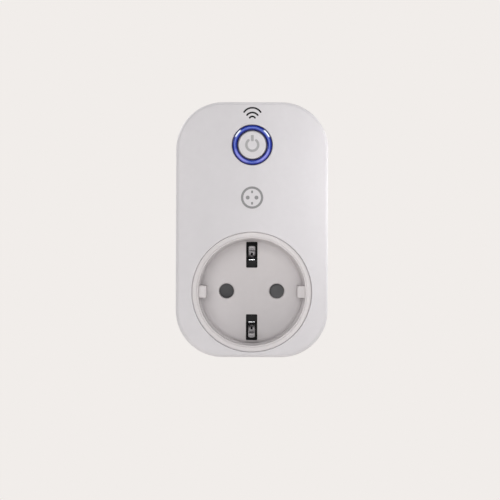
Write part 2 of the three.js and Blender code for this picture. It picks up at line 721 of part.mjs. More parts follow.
// A slit brass tube that grips a plug pin, with a solder tail.
function tulipContact(side) {
  const x = side * PIN_OFFSET;
  const tube = turned(closed([
    [CONTACT.bore, CONTACT.front],
    [CONTACT.bore, CONTACT.back],
    [CONTACT.outer, CONTACT.back],
    [CONTACT.outer, CONTACT.front + CONTACT_FLARE.depth],
    [CONTACT.outer + CONTACT_FLARE.rim, CONTACT.front],
  ]), x, 0, SIDES.small);
  const slit = block(
    [x - CONTACT_TOWER_RADIUS, x + CONTACT_TOWER_RADIUS],
    [CONTACT.front - PAST, CONTACT.slitBack],
    [-CONTACT.slitHalf, CONTACT.slitHalf],
  );
  const tail = block(
    [x - CONTACT_TAIL.halfWidth, x + CONTACT_TAIL.halfWidth],
    [CONTACT_TAIL.front, CONTACT_TAIL.back],
    [CONTACT_TAIL.bottom, CONTACT_TAIL.top],
  );
  return join(cut(tube, slit), tail);
}

// A two-armed plate that covers both pin holes until it is turned out of the way.
function socketShutter() {
  const thickness = [SHUTTER.front, SHUTTER.back];
  const armEnd = SHUTTER.reach - SHUTTER.halfWidth;
  const arms = join(
    block([-armEnd, armEnd], thickness, [-SHUTTER.halfWidth, SHUTTER.halfWidth]),
    ...onBothSides((side) => rod(side * armEnd, 0, SHUTTER.halfWidth, ...thickness, SIDES.medium)),
    rod(0, 0, SHUTTER.hub, ...thickness, SIDES.medium),
  );
  const bore = SHUTTER_POST.radius + CUP_GAP;
  return cut(arms, rod(0, 0, bore, SHUTTER.front - PAST, SHUTTER.back + PAST, SIDES.post));
}

class SpringCurve extends THREE.Curve {
  getPoint(t, target = new THREE.Vector3()) {
    const angle = 2 * Math.PI * SPRING.turns * t;
    const y = THREE.MathUtils.lerp(SPRING.front, SPRING.back, t);
    return target.set(SPRING.radius * Math.cos(angle), y, SPRING.radius * Math.sin(angle));
  }
}

function shutterSpring() {
  return strand(new SpringCurve(), SPRING.wire, SPRING.steps);
}

// ---- power button ------------------------------------------------------------------------------

function lightRing() {
  const middle = (RING_INNER_RADIUS + RING_OUTER_RADIUS) / 2;
  const shoulder = (RING_OUTER_RADIUS - RING_INNER_RADIUS) / 4;
  const rim = RING_OUTER_RADIUS + RING_FLANGE.rim;
  const step = RING_INNER_RADIUS + RING_STEP;
  return turned(closed([
    [RING_INNER_RADIUS, RING_FRONT + RING_CROWN],
    [middle - shoulder, RING_FRONT + RING_CROWN / 4],
    [middle, RING_FRONT],
    [middle + shoulder, RING_FRONT + RING_CROWN / 4],
    [RING_OUTER_RADIUS, RING_FRONT + RING_CROWN],
    [RING_OUTER_RADIUS, RING_FLANGE.front],
    [rim, RING_FLANGE.front],
    [rim, RING_FLANGE.back],
    [RING_OUTER_RADIUS, RING_FLANGE.back],
    [RING_OUTER_RADIUS, RING_BACK],
    [step, RING_BACK],
    [step, RING_FLANGE.stepFront],
    [RING_INNER_RADIUS, RING_FLANGE.stepFront],
  ]), 0, BUTTON_HEIGHT, SIDES.ring);
}

function powerButton() {
  const rim = BUTTON_RADIUS + BUTTON_FLANGE.rim;
  return turned([
    [0, BUTTON_FRONT],
    [BUTTON_RADIUS - BUTTON_ROUND, BUTTON_FRONT],
    [BUTTON_RADIUS - BUTTON_ROUND / 4, BUTTON_FRONT + BUTTON_ROUND / 4],
    [BUTTON_RADIUS, BUTTON_FRONT + BUTTON_ROUND],
    [BUTTON_RADIUS, BUTTON_FLANGE.front],
    [rim, BUTTON_FLANGE.front],
    [rim, BUTTON_FLANGE.back],
    [BUTTON_FLANGE.stem, BUTTON_FLANGE.back],
    [BUTTON_FLANGE.stem, BUTTON_BACK],
    [0, BUTTON_BACK],
  ], 0, BUTTON_HEIGHT, SIDES.medium);
}

function squareAroundButton(half, corner) {
  return roundedOutline(half, BUTTON_HEIGHT - half, BUTTON_HEIGHT + half, corner);
}

function tactSwitchBody() {
  const outline = squareAroundButton(SWITCH.halfWidth, SWITCH.corner);
  return cut(
    slab(outline, SWITCH.front, SWITCH.back, BOARD_CORNER_STEPS),
    rod(0, BUTTON_HEIGHT, SWITCH.bore, SWITCH.front - PAST, SWITCH.front + SWITCH.boreDepth),
  );
}

function tactSwitchPlunger() {
  return rod(0, BUTTON_HEIGHT, PLUNGER.radius, BUTTON_BACK + PLUNGER.gap, SWITCH.front + PLUNGER.depth);
}

function ledPackage(number) {
  const angle = Math.PI / 4 + (number * 2 * Math.PI) / LED_COUNT;
  const x = LED_CIRCLE_RADIUS * Math.cos(angle);
  const z = BUTTON_HEIGHT + LED_CIRCLE_RADIUS * Math.sin(angle);
  const back = BUTTON_BOARD_FRONT - LED.seat;
  return block(
    [x - LED.halfWidth, x + LED.halfWidth],
    [back - LED.height, back],
    [z - LED.halfWidth, z + LED.halfWidth],
  );
}

function buttonBoard() {
  const outline = squareAroundButton(BUTTON_BOARD_HALF, BUTTON_BOARD_CORNER);
  return cut(
    slab(outline, BUTTON_BOARD_FRONT, BUTTON_BOARD_BACK, BOARD_CORNER_STEPS),
    ...stakePosts(STAKE_POST.hole, BUTTON_BOARD_FRONT - PAST, BUTTON_BOARD_BACK + PAST),
  );
}

// ---- electronics -------------------------------------------------------------------------------

const BOARD_SEAT = MAIN_BOARD_BACK + MOUNTING_GAP;

function mainBoard() {
  const inset = WALL + MAIN_BOARD_INSET;
  const outline = roundedOutline(
    BODY_HALF_WIDTH - inset,
    MAIN_BOARD_BOTTOM,
    BODY_TOP - inset,
    MAIN_BOARD_CORNER,
    CORNER_RADIUS - inset,
  );
  const through = [MAIN_BOARD_FRONT - PAST, MAIN_BOARD_BACK + PAST];
  return cut(
    slab(outline, MAIN_BOARD_FRONT, MAIN_BOARD_BACK),
    ...atHousingScrews(POST_RADIUS + POST_CLEARANCE, ...through),
    ...boardPosts(BOARD_POST.hole, ...through),
  );
}

// A block that stands on the back of the main board.
function onBoard([left, right], height, [bottom, top]) {
  return block([left, right], [BOARD_SEAT, BOARD_SEAT + height], [bottom, top]);
}

// A ferrite core around a winding, on a moulded foot.
function transformer() {
  const core = cut(onBoard(...TRANSFORMER.core), block(...TRANSFORMER.window));
  return join(core, onBoard(...TRANSFORMER.winding), onBoard(...TRANSFORMER.foot));
}

function filterCapacitor() {
  const { x, z, radius, height, crimp, crimpDepth } = FILTER_CAPACITOR;
  return turned([
    [0, BOARD_SEAT],
    [radius, BOARD_SEAT],
    [radius, BOARD_SEAT + crimp - crimpDepth],
    [radius - crimpDepth, BOARD_SEAT + crimp],
    [radius, BOARD_SEAT + crimp + crimpDepth],
    [radius, BOARD_SEAT + height - crimpDepth],
    [radius - crimpDepth, BOARD_SEAT + height],
    [0, BOARD_SEAT + height],
  ], x, z, SIDES.post);
}

function varistor() {
  const { x, z, radius, thickness, lift } = VARISTOR;
  const disc = new THREE.CylinderGeometry(radius, radius, thickness, SIDES.post).rotateX(Math.PI / 2);
  return toSolid(disc.translate(x, BOARD_SEAT + lift, z));
}

// A pan-head screw that is driven from behind, with a cross recess.
function screw(x, z, { head, shank, seat, back, tip }) {
  const blank = turned([
    [0, tip],
    [SCREW_CROSS.crown * shank, tip],
    [shank, tip + SCREW_CROSS.point],
    [shank, seat],
    [head, seat],
    [head, back - SCREW_CROSS.crown],
    [head - SCREW_CROSS.rim, back],
    [0, back],
  ], x, z, SIDES.hidden);
  const long = head * SCREW_CROSS.reach;
  const short = SCREW_CROSS.halfWidth;
  const depth = [back - SCREW_CROSS.depth, back + PAST];
  return cut(
    blank,
    block([x - long, x + long], depth, [z - short, z + short]),
    block([x - short, x + short], depth, [z - long, z + long]),
  );
}

// ---- assembly ----------------------------------------------------------------------------------

const extender = new THREE.Group();

function add(name, surface, solid) {
  const mesh = new THREE.Mesh(toGeometry(solid), surface);
  mesh.name = name;
  extender.add(mesh);
}

add('front_cover', shellPlastic, frontCover());
add('rear_housing', shellPlastic, rearHousing());
add('socket_insert', socketPlastic, socketInsert());
add('light_ring', ringPlastic, lightRing());
add('power_button', buttonPlastic, powerButton());
add('tact_switch_body', blackPlastic, tactSwitchBody());
add('tact_switch_plunger', blackPlastic, tactSwitchPlunger());
add('button_board', circuitBoard, buttonBoard());
for (let number = 0; number < LED_COUNT; number += 1) {
  add(`led_${number + 1}`, ledBody, ledPackage(number));
}

add('contact_carrier', blackPlastic, contactCarrier());
add('socket_shutter', shutterPlastic, socketShutter());
add('shutter_spring', springSteel, shutterSpring());
add('live_contact', brass, tulipContact(-1));
add('neutral_contact', brass, tulipContact(1));
add('earth_bridge', tinnedSteel, earthBridge());
add('earth_clip_upper', tinnedSteel, earthClip(1));
add('earth_clip_lower', tinnedSteel, earthClip(-1));
add('plug_pin_live', nickelPlate, plugPin(-1));
add('plug_pin_neutral', nickelPlate, plugPin(1));
add('plug_earth_yoke', tinnedSteel, plugEarthYoke());

add('main_board', circuitBoard, mainBoard());
add('relay', relayCase, onBoard(...RELAY));
add('transformer', ferrite, transformer());
add('filter_capacitor', capacitorSleeve, filterCapacitor());
add('film_capacitor', filmCase, onBoard(...FILM_CAPACITOR));
add('varistor', varistorCoat, varistor());
add('fuse', fuseBody, rod(FUSE.x, FUSE.z, FUSE.radius, BOARD_SEAT, BOARD_SEAT + FUSE.height));
add('rectifier', chipEpoxy, onBoard(...RECTIFIER));
add('wifi_module_board', moduleBoard, block(...WIFI_MODULE));
add('wifi_shield_can', tinnedSteel, block(...SHIELD_CAN));
add('board_link', headerPlastic, block(...BOARD_LINK));

add('live_wire', brownInsulation, wire(SUPPLY_WIRE_PATH));
add('neutral_wire', blueInsulation, wire(mirroredInX(SUPPLY_WIRE_PATH)));
add('relay_output_wire', brownInsulation, wire(CONTACT_WIRE_PATH));
add('neutral_link_wire', blueInsulation, wire(mirroredInX(CONTACT_WIRE_PATH)));
add('earth_wire', earthInsulation, wire(EARTH_WIRE_PATH));

HOUSING_SCREWS.forEach(([x, z], i) => {
  add(`housing_screw_${i + 1}`, zincSteel, screw(x, z, HOUSING_SCREW));
});
[-1, 1].forEach((side, i) => {
  const at = side * CARRIER_SCREW_OFFSET;
  add(`board_screw_${i + 1}`, zincSteel, screw(side * BOARD_POST.x, BOARD_POST.z, BOARD_SCREW));
  add(`carrier_screw_${i + 1}`, zincSteel, screw(at, at, CARRIER_SCREW));
});

export default extender;
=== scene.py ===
"""The looks of a plug-in Wi-Fi range extender with a pass-through socket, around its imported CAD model.

Shapes are built in millimetres in the CAD frame (+X right, +Y into the wall, +Z up) and scaled to metres
when they become pieces. The main places come from the CAD nodes' boxes, and other sizes are named here.
"""

import json
import math

import bmesh
import bpy
from mathutils import Matrix, Vector


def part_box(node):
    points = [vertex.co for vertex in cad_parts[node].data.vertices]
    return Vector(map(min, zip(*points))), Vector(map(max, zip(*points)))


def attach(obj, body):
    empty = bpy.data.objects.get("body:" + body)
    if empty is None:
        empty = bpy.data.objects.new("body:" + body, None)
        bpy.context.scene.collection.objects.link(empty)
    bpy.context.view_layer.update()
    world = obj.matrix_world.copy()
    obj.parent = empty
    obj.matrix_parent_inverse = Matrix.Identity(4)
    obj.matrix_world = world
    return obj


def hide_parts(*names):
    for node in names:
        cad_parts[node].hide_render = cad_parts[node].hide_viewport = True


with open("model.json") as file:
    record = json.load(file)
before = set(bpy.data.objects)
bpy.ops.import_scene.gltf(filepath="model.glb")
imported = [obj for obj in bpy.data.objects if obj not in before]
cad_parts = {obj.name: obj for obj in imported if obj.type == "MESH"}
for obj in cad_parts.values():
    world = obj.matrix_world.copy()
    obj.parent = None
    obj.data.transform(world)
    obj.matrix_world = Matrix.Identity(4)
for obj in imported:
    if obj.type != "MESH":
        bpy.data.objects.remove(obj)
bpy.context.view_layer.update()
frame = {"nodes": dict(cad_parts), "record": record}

MM = 0.001


def box_mm(node):
    """The low and high corners of a CAD node's box, in millimetres."""
    low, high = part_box(node)
    return low / MM, high / MM


# ---- sizes, in millimetres, read from the frame or stated here ----

cover_low, cover_high = box_mm("front_cover")
rear_high = box_mm("rear_housing")[1]
insert_low, insert_high = box_mm("socket_insert")
ring_low, ring_high = box_mm("light_ring")
button_low, button_high = box_mm("power_button")

HALF_WIDTH = cover_high.x
BODY_TOP = cover_high.z
BODY_BOTTOM = cover_low.z
BODY_FRONT = cover_low.y
BODY_BACK = 0.0
PARTING_FRONT = cover_high.y
SEAM_GAP = 0.3
PARTING_BACK = PARTING_FRONT + SEAM_GAP
BOSS_BACK = rear_high.y
BUTTON_Z = (ring_low.z + ring_high.z) / 2
RING_FRONT = ring_low.y
CORNER_RADIUS = 17.3
EDGE_ROUND = 1.3
REAR_EDGE_ROUND = EDGE_ROUND + 0.1
WALL = 2.2
SEAM_CHAMFER = 0.28
LIP_GAP = 0.15
LIP_DEPTH = 2.5
LIP_THICKNESS = 1.0
LIP_ROOT = 1.5
CORNER_STEPS = 28
ROUND_STEPS = 8
TURN_STEPS = 96
FINE_TURN_STEPS = 160

PIN_OFFSET = 9.5
BOSS_RADIUS = 18.4
KEYWAY_FLOOR = 16.2
KEYWAY_HALF_WIDTH = 2.7
CHANNEL_FLOOR = 15.6
CHANNEL_HALF_WIDTH = 3.1
EARTH_HOLE_OFFSET = 10.0
SCREW_PLACES = [(-18.9, -15.6), (18.9, -15.6), (-18.5, 60.5), (18.5, 60.5)]

SOCKET_FACE = insert_low.y
SOCKET_HOLE_RADIUS = 22.12
FLANGE_RADIUS = insert_high.x
FLANGE_BACK = SOCKET_FACE + 1.4
CUP_RADIUS = 21.4
FLOOR_Y = -19.9
FLOOR_BACK = FLOOR_Y + 2.0
FLOOR_FILLET = 1.25
RECESS_RADIUS = 19.3
WALL_STEP_Y = -30.0
WALL_STEP = 0.22
WALL_DRAFT = 0.1
MOUTH_RADIUS = 19.78
MOUTH_ROUND = 0.3
GROOVE_RADIUS = 20.35
GROOVE_WIDTH = 0.3
GROOVE_DEPTH = 0.28
FLANGE_ROUND = 0.38
PIN_HOLE_RADIUS = 2.75
SLOT_HALF_WIDTH = 2.15
SLOT_INNER = 8.8
SLOT_OUTER = 18.6
RIB_INNER = 16.8
RIB_HALF_WIDTH = 2.3
RIB_SETBACK = 3.0

# height above the button's centre, radius and half-angle in degrees of each printed arc
WIFI_ARCS = [(9.95, 3.72, 55.0), (9.35, 2.55, 51.0), (9.3, 1.17, 56.0)]

RING_OUTER = 7.4
RING_INNER = 5.45
BUTTON_RADIUS = 5.2

# a rounded rim has its middle point this share of its width from both faces
RIM_SHARE = 0.3
# a cutter starts this share of its rim outside the face
LEAD_IN = 0.6
# how far a cutter runs past the material
PAST = 1
# radii below this lie on a lathe's axis
ON_AXIS = 1e-6


# ---- mesh tools ----

def arc(centre, radius, start, end, steps):
    """Points of an arc about centre, with its angles in degrees."""
    points = []
    for i in range(steps + 1):
        angle = math.radians(start + (end - start) * i / steps)
        points.append((centre[0] + radius * math.cos(angle), centre[1] + radius * math.sin(angle)))
    return points


def rounded_outline(left, right, bottom, top, radius, steps=CORNER_STEPS):
    """An X and Z outline with equal round corners, anticlockwise from the right."""
    outline = arc((right - radius, top - radius), radius, 0, 90, steps)
    outline += arc((left + radius, top - radius), radius, 90, 180, steps)
    outline += arc((left + radius, bottom + radius), radius, 180, 270, steps)
    outline += arc((right - radius, bottom + radius), radius, 270, 360, steps)
    return outline


def body_ring(inset, y):
    """The housing's outline at a depth y, drawn in by inset all round."""
    outline = rounded_outline(
        inset - HALF_WIDTH,
        HALF_WIDTH - inset,
        BODY_BOTTOM + inset,
        BODY_TOP - inset,
        CORNER_RADIUS - inset,
    )
    return [(x, y, z) for x, z in outline]


def loft(rings, closed=False):
    """A closed solid through rings of equal length, with flat ends or, if closed, joined end to end."""
    bm = bmesh.new()
    rows = [[bm.verts.new(point) for point in ring] for ring in rings]
    pairs = list(zip(rows, rows[1:]))
    if closed:
        pairs.append((rows[-1], rows[0]))
    for row, following in pairs:
        for i in range(len(row)):
            j = (i + 1) % len(row)
            bm.faces.new((row[i], row[j], following[j], following[i]))
    if not closed:
        bm.faces.new(list(reversed(rows[0])))
        bm.faces.new(rows[-1])
    bmesh.ops.recalc_face_normals(bm, faces=bm.faces)
    return bm


def lathe(profile, x=0.0, z=0.0, steps=TURN_STEPS, closed=False):
    """A solid turned about an axis along Y at (x, z), from (radius, y) points."""
    bm = bmesh.new()
    rows = []
    for radius, y in profile:
        if radius < ON_AXIS:
            rows.append([bm.verts.new((x, y, z))])
            continue
        turns = [2 * math.pi * i / steps for i in range(steps)]
        rows.append([
            bm.verts.new((x + radius * math.cos(a), y, z + radius * math.sin(a))) for a in turns
        ])
    pairs = list(zip(rows, rows[1:]))
    if closed:
        pairs.append((rows[-1], rows[0]))
    for row, following in pairs:
        for i in range(steps):
            j = (i + 1) % steps
            if len(row) == 1:
                bm.faces.new((row[0], following[j], following[i]))
            elif len(following) == 1:
                bm.faces.new((row[i], row[j], following[0]))
            else:
                bm.faces.new((row[i], row[j], following[j], following[i]))
    bmesh.ops.recalc_face_normals(bm, faces=bm.faces)
    return bm


def prism(outline, front, back, chamfer=0.0):
    """An X and Z outline made solid along Y, with its rims rounded by scaling about its centre."""
    if chamfer == 0:
        return loft([[(x, y, z) for x, z in outline] for y in (front, back)])
    width = max(x for x, z in outline) - min(x for x, z in outline)
    height = max(z for x, z in outline) - min(z for x, z in outline)
    middle_x = sum(x for x, z in outline) / len(outline)
    middle_z = sum(z for x, z in outline) / len(outline)
    rings = []
    part = RIM_SHARE * chamfer
    rims = [(chamfer, front), (part, front + part), (0, front + chamfer)]
    rims += [(0, back - chamfer), (part, back - part), (chamfer, back)]
    for inset, y in rims:
        scale_x = 1 - 2 * inset / width
        scale_z = 1 - 2 * inset / height
        rings.append([
            (middle_x + (x - middle_x) * scale_x, y, middle_z + (z - middle_z) * scale_z)
            for x, z in outline
        ])
    return loft(rings)


def block(low, high, chamfer=0.3, radius=None):
    """A box with rounded edges."""
    if radius is None:
        radius = min(chamfer * 1.5, (high[0] - low[0]) / 3, (high[2] - low[2]) / 3)
    outline = rounded_outline(low[0], high[0], low[2], high[2], radius, 4)
    return prism(outline, low[1], high[1], chamfer)


def solid(bm, name="shape"):
    """The built mesh as an object in millimetres."""
    mesh = bpy.data.meshes.new(name)
    bm.to_mesh(mesh)
    bm.free()
    made = bpy.data.objects.new(name, mesh)
    bpy.context.scene.collection.objects.link(made)
    return made


def combine(base, tool, operation):
    """Cuts or joins two objects, and uses up the tool."""
    modifier = base.modifiers.new(operation, "BOOLEAN")
    modifier.operation = operation
    modifier.solver = "MANIFOLD"
    modifier.object = tool
    evaluated = base.evaluated_get(bpy.context.evaluated_depsgraph_get())
    mesh = bpy.data.meshes.new_from_object(evaluated)
    base.modifiers.clear()
    base.data = mesh
    bpy.data.objects.remove(tool)
    return base


def cut(base, *tools):
    """Takes each tool's shape out of the base."""
    for tool in tools:
        combine(base, solid(tool), "DIFFERENCE")
    return base


def join(base, *others):
    """Makes the base and the other shapes one solid."""
    for other in others:
        combine(base, solid(other), "UNION")
    return base


def piece(made, name, material, body, nodes=(), smooth=32.0):
    """Turns a millimetre object into a named piece that rides on a body."""
    made.name = name
    made.data.name = name
    made.data.transform(Matrix.Scale(MM, 4))
    made.data.materials.clear()
    made.data.materials.append(material)
    made.data.shade_smooth()
    made.data.set_sharp_from_angle(angle=math.radians(smooth))
    shading = made.modifiers.new("even_shading", "WEIGHTED_NORMAL")
    shading.keep_sharp = True
    shading.weight = 80
    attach(made, body)
    if nodes:
        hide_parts(*nodes)
    return made


# ---- material tools ----

# sizes of surface detail, in millimetres, and the flow marks' scale on each axis
MOTTLE_SIZE = 2.2
FLOW_SIZE = 24.0
FLOW_STRETCH = (1.0, 1.0, 0.45)
TARNISH_SIZE = 3.0
SCRATCH_SIZE = 0.14
SCRATCH_DEPTH = 0.0008


def add_node(tree, kind, values=None, **settings):
    """A shader node, with each input set to a number or linked to another node's output."""
    made = tree.nodes.new(kind)
    for key, value in settings.items():
        setattr(made, key, value)
    for key, value in (values or {}).items():
        if isinstance(value, bpy.types.NodeSocket):
            tree.links.new(value, made.inputs[key])
        else:
            made.inputs[key].default_value = value
    return made


def start_material(name):
    """A new material with its node tree, its shader and the object's own coordinates."""
    material = bpy.data.materials.new(name)
    material.use_nodes = True
    tree = material.node_tree
    tree.nodes.clear()
    shader = add_node(tree, "ShaderNodeBsdfPrincipled")
    output = add_node(tree, "ShaderNodeOutputMaterial")
    tree.links.new(shader.outputs["BSDF"], output.inputs["Surface"])
    place = add_node(tree, "ShaderNodeTexCoord").outputs["Object"]
    return material, tree, shader, place


def noise(tree, place, size_mm, detail=3.0, roughness=0.5, stretch=None):
    """Noise whose blobs are about size_mm across, stretched by a scale on each axis if asked."""
    if stretch:
        mapping = add_node(tree, "ShaderNodeMapping", {"Vector": place, "Scale": stretch})
        place = mapping.outputs["Vector"]
    made = add_node(tree, "ShaderNodeTexNoise", {
        "Vector": place,
        "Scale": 1 / (size_mm * MM),
        "Detail": detail,
        "Roughness": roughness,
    })
    return made.outputs["Fac"]


def spread(tree, value, low, high, start=0.3, end=0.7):
    """Stretches the part of a value from start to end over low to high."""
    made = add_node(tree, "ShaderNodeMapRange", {
        "Value": value,
        "From Min": start,
        "From Max": end,
        "To Min": low,
        "To Max": high,
    })
    return made.outputs["Result"]


def tint(tree, factor, first, second):
    """Mixes two colours by a factor. A colour mix takes its inputs by place, as several share a name."""
    made = add_node(tree, "ShaderNodeMix", data_type="RGBA")
    for index, value in ((0, factor), (6, first), (7, second)):
        if isinstance(value, bpy.types.NodeSocket):
            tree.links.new(value, made.inputs[index])
        else:
            made.inputs[index].default_value = value
    return made.outputs[2]


def shade_of(colour, factor):
    """The colour made lighter or darker, with an alpha of 1."""
    return (*[min(1.0, part * factor) for part in colour], 1.0)


def bump(tree, height, depth_mm):
    """A fine relief, depth_mm deep, for a surface's normal."""
    values = {"Height": height, "Strength": 1.0, "Distance": depth_mm * MM}
    return add_node(tree, "ShaderNodeBump", values).outputs["Normal"]


def uneven_gloss(tree, fine, coarse, roughness):
    """Roughness that varies a little round its mean with two noises."""
    both = calculate(tree, "ADD", fine, coarse)
    return spread(tree, both, roughness - 0.05, roughness + 0.06, 0.7, 1.3)


def moulded_plastic(name, colour, roughness, grain_mm=0.3, depth_mm=0.012, sheen=0.5):
    """Moulded plastic with a fine spark-eroded grain, faint flow marks and uneven gloss."""
    material, tree, shader, place = start_material(name)
    grain = noise(tree, place, grain_mm, 2.0, 0.6)
    mottle = noise(tree, place, MOTTLE_SIZE, 3.0, 0.55)
    flow = noise(tree, place, FLOW_SIZE, 2.0, 0.5, FLOW_STRETCH)
    dark, light = shade_of(colour, 0.965), shade_of(colour, 1.03)
    base = tint(tree, spread(tree, flow, 0.0, 1.0), dark, light)
    speckled = tint(tree, spread(tree, mottle, 0.0, 0.35), base, shade_of(colour, 0.95))
    tree.links.new(speckled, shader.inputs["Base Color"])
    tree.links.new(uneven_gloss(tree, grain, mottle, roughness), shader.inputs["Roughness"])
    tree.links.new(bump(tree, grain, depth_mm), shader.inputs["Normal"])
    shader.inputs["Specular IOR Level"].default_value = sheen
    return material


def worked_metal(name, colour, roughness, stretch):
    """Metal with fine drawn or stamped scratches and a little tarnish."""
    material, tree, shader, place = start_material(name)
    scratches = noise(tree, place, SCRATCH_SIZE, 3.0, 0.6, stretch)
    tarnish = noise(tree, place, TARNISH_SIZE, 3.0, 0.6)
    dark, light = shade_of(colour, 0.95), shade_of(colour, 1.04)
    base = tint(tree, spread(tree, tarnish, 0.0, 1.0), dark, light)
    tree.links.new(base, shader.inputs["Base Color"])
    tree.links.new(uneven_gloss(tree, scratches, tarnish, roughness), shader.inputs["Roughness"])
    tree.links.new(bump(tree, scratches, SCRATCH_DEPTH), shader.inputs["Normal"])
    shader.inputs["Metallic"].default_value = 1.0
    return material


def calculate(tree, operation, first, second=0.0):
    """One step of arithmetic on one or two values."""
    return add_node(tree, "ShaderNodeMath", {0: first, 1: second}, operation=operation).outputs[0]


def on_vectors(tree, operation, *values):
    """One step of arithmetic on vectors."""
    return add_node(tree, "ShaderNodeVectorMath", dict(enumerate(values)), operation=operation).outputs


def colour_ramp(tree, value, stops):
    """A colour that follows a value from 0 to 1 through (position, colour) stops."""
    ramp = add_node(tree, "ShaderNodeValToRGB", {"Fac": value})
    elements = ramp.color_ramp.elements
    while len(elements) < len(stops):
        elements.new(0.5)
    for element, (position, colour) in zip(elements, stops):
        element.position = position
        element.color = (*colour, 1.0)
    return ramp.outputs["Color"]


def product(tree, first, *others):
    """All the values multiplied together."""
    for other in others:
        first = calculate(tree, "MULTIPLY", first, other)
    return first


def diagonal_lobes(tree, flat, squeeze, start, end):
    """One lobe in each quarter of a flat vector field; squeeze above 1 moves them towards X."""
    squeezed = on_vectors(tree, "MULTIPLY", flat, (1.0, 0.0, squeeze))[0]
    unit = on_vectors(tree, "NORMALIZE", squeezed)[0]
    parts = add_node(tree, "ShaderNodeSeparateXYZ", {0: unit}).outputs
    crossed = calculate(tree, "ABSOLUTE", calculate(tree, "MULTIPLY", parts["X"], parts["Z"]))
    return spread(tree, crossed, 0.0, 1.0, start / 2, end / 2)


# the ring's glow from its inner to its outer edge, darkened towards both edges as painted shade on its
# domed slopes, and the colours of its painted sheen and painted highlights
RING_GLOW_AND_EDGE_SHADE = [
    (0.0, (0.002, 0.002, 0.045)),
    (0.16, (0.004, 0.006, 0.11)),
    (0.38, (0.036, 0.068, 0.36)),
    (0.58, (0.024, 0.058, 0.34)),
    (0.80, (0.004, 0.008, 0.15)),
    (1.0, (0.001, 0.001, 0.03)),
]
# painted sheen: lilac standing in for light from below reflected on the ring's lower diagonals
PAINTED_SHEEN_LILAC = (0.20, 0.20, 0.56, 1.0)
# painted highlights: near-white glints standing in for lamps reflected on the upper outer shoulders
PAINTED_HIGHLIGHT_WHITE = (0.75, 0.80, 0.86, 1.0)


def lit_ring_plastic(name):
    """A glowing blue light guide: deep blue at both edges as painted shade on its dome, with a painted
    lilac sheen on its lower diagonals and painted white highlights on the outer shoulders of its upper
    diagonals.
    """
    material, tree, shader, place = start_material(name)
    shifted = on_vectors(tree, "SUBTRACT", place, (0.0, 0.0, BUTTON_Z * MM))[0]
    flat = on_vectors(tree, "MULTIPLY", shifted, (1.0, 0.0, 1.0))[0]
    radius = on_vectors(tree, "LENGTH", flat)["Value"]
    across = spread(tree, radius, 0.0, 1.0, RING_INNER * MM, RING_OUTER * MM)
    # the glow darkens towards both edges as painted shade on the ring's domed slopes
    glow_and_painted_light = colour_ramp(tree, across, RING_GLOW_AND_EDGE_SHADE)
    level = add_node(tree, "ShaderNodeSeparateXYZ", {0: flat}).outputs["Z"]
    below = spread(tree, level, 1.0, 0.0, -0.3 * RING_OUTER * MM, 0.1 * RING_OUTER * MM)
    above = spread(tree, level, 0.0, 1.0, 0.1 * RING_OUTER * MM, 0.3 * RING_OUTER * MM)
    crown = spread(tree, across, 0.0, 1.0, 0.18, 0.42)
    shoulder = spread(tree, across, 1.0, 0.0, 0.62, 0.86)
    cloud = spread(tree, noise(tree, place, 2.2, 2.0), 0.7, 1.0)
    # painted sheen of light from below, across the crown on the lower diagonals only
    sheen_lobes = diagonal_lobes(tree, flat, 1.0, 0.30, 1.0)
    painted_sheen = product(tree, sheen_lobes, below, crown, shoulder, cloud)
    rim_inside = spread(tree, across, 0.0, 1.0, 0.52, 0.64)
    rim_outside = spread(tree, across, 1.0, 0.0, 0.78, 0.88)
    # painted highlights of lamps above, on the outer shoulder of the upper diagonals only
    highlight_lobes = diagonal_lobes(tree, flat, 1.3, 0.86, 0.94)
    painted_highlight = product(tree, highlight_lobes, above, rim_inside, rim_outside)
    glow_and_painted_light = tint(tree, painted_sheen, glow_and_painted_light, PAINTED_SHEEN_LILAC)
    glow_and_painted_light = tint(tree, painted_highlight, glow_and_painted_light, PAINTED_HIGHLIGHT_WHITE)
    tree.links.new(glow_and_painted_light, shader.inputs["Base Color"])
    tree.links.new(glow_and_painted_light, shader.inputs["Emission Color"])
    shader.inputs["Emission Strength"].default_value = 0.4
    shader.inputs["Roughness"].default_value = 0.25
    shader.inputs["Specular IOR Level"].default_value = 0.0
    shader.inputs["Coat Weight"].default_value = 0.7
    shader.inputs["Coat Roughness"].default_value = 0.12
    tree.links.new(bump(tree, noise(tree, place, 2.4, 2.0), 0.002), shader.inputs["Normal"])
    return material


# sizes on a circuit board, in millimetres
BOARD_CELL = 7.0
TRACE_PITCH = 1.1
PAD_PITCH = 4.5
# how wide a wave texture's band is, in units, at a scale of 1
WAVE_WIDTH = 0.31
SOLDER = (0.62, 0.62, 0.58, 1.0)


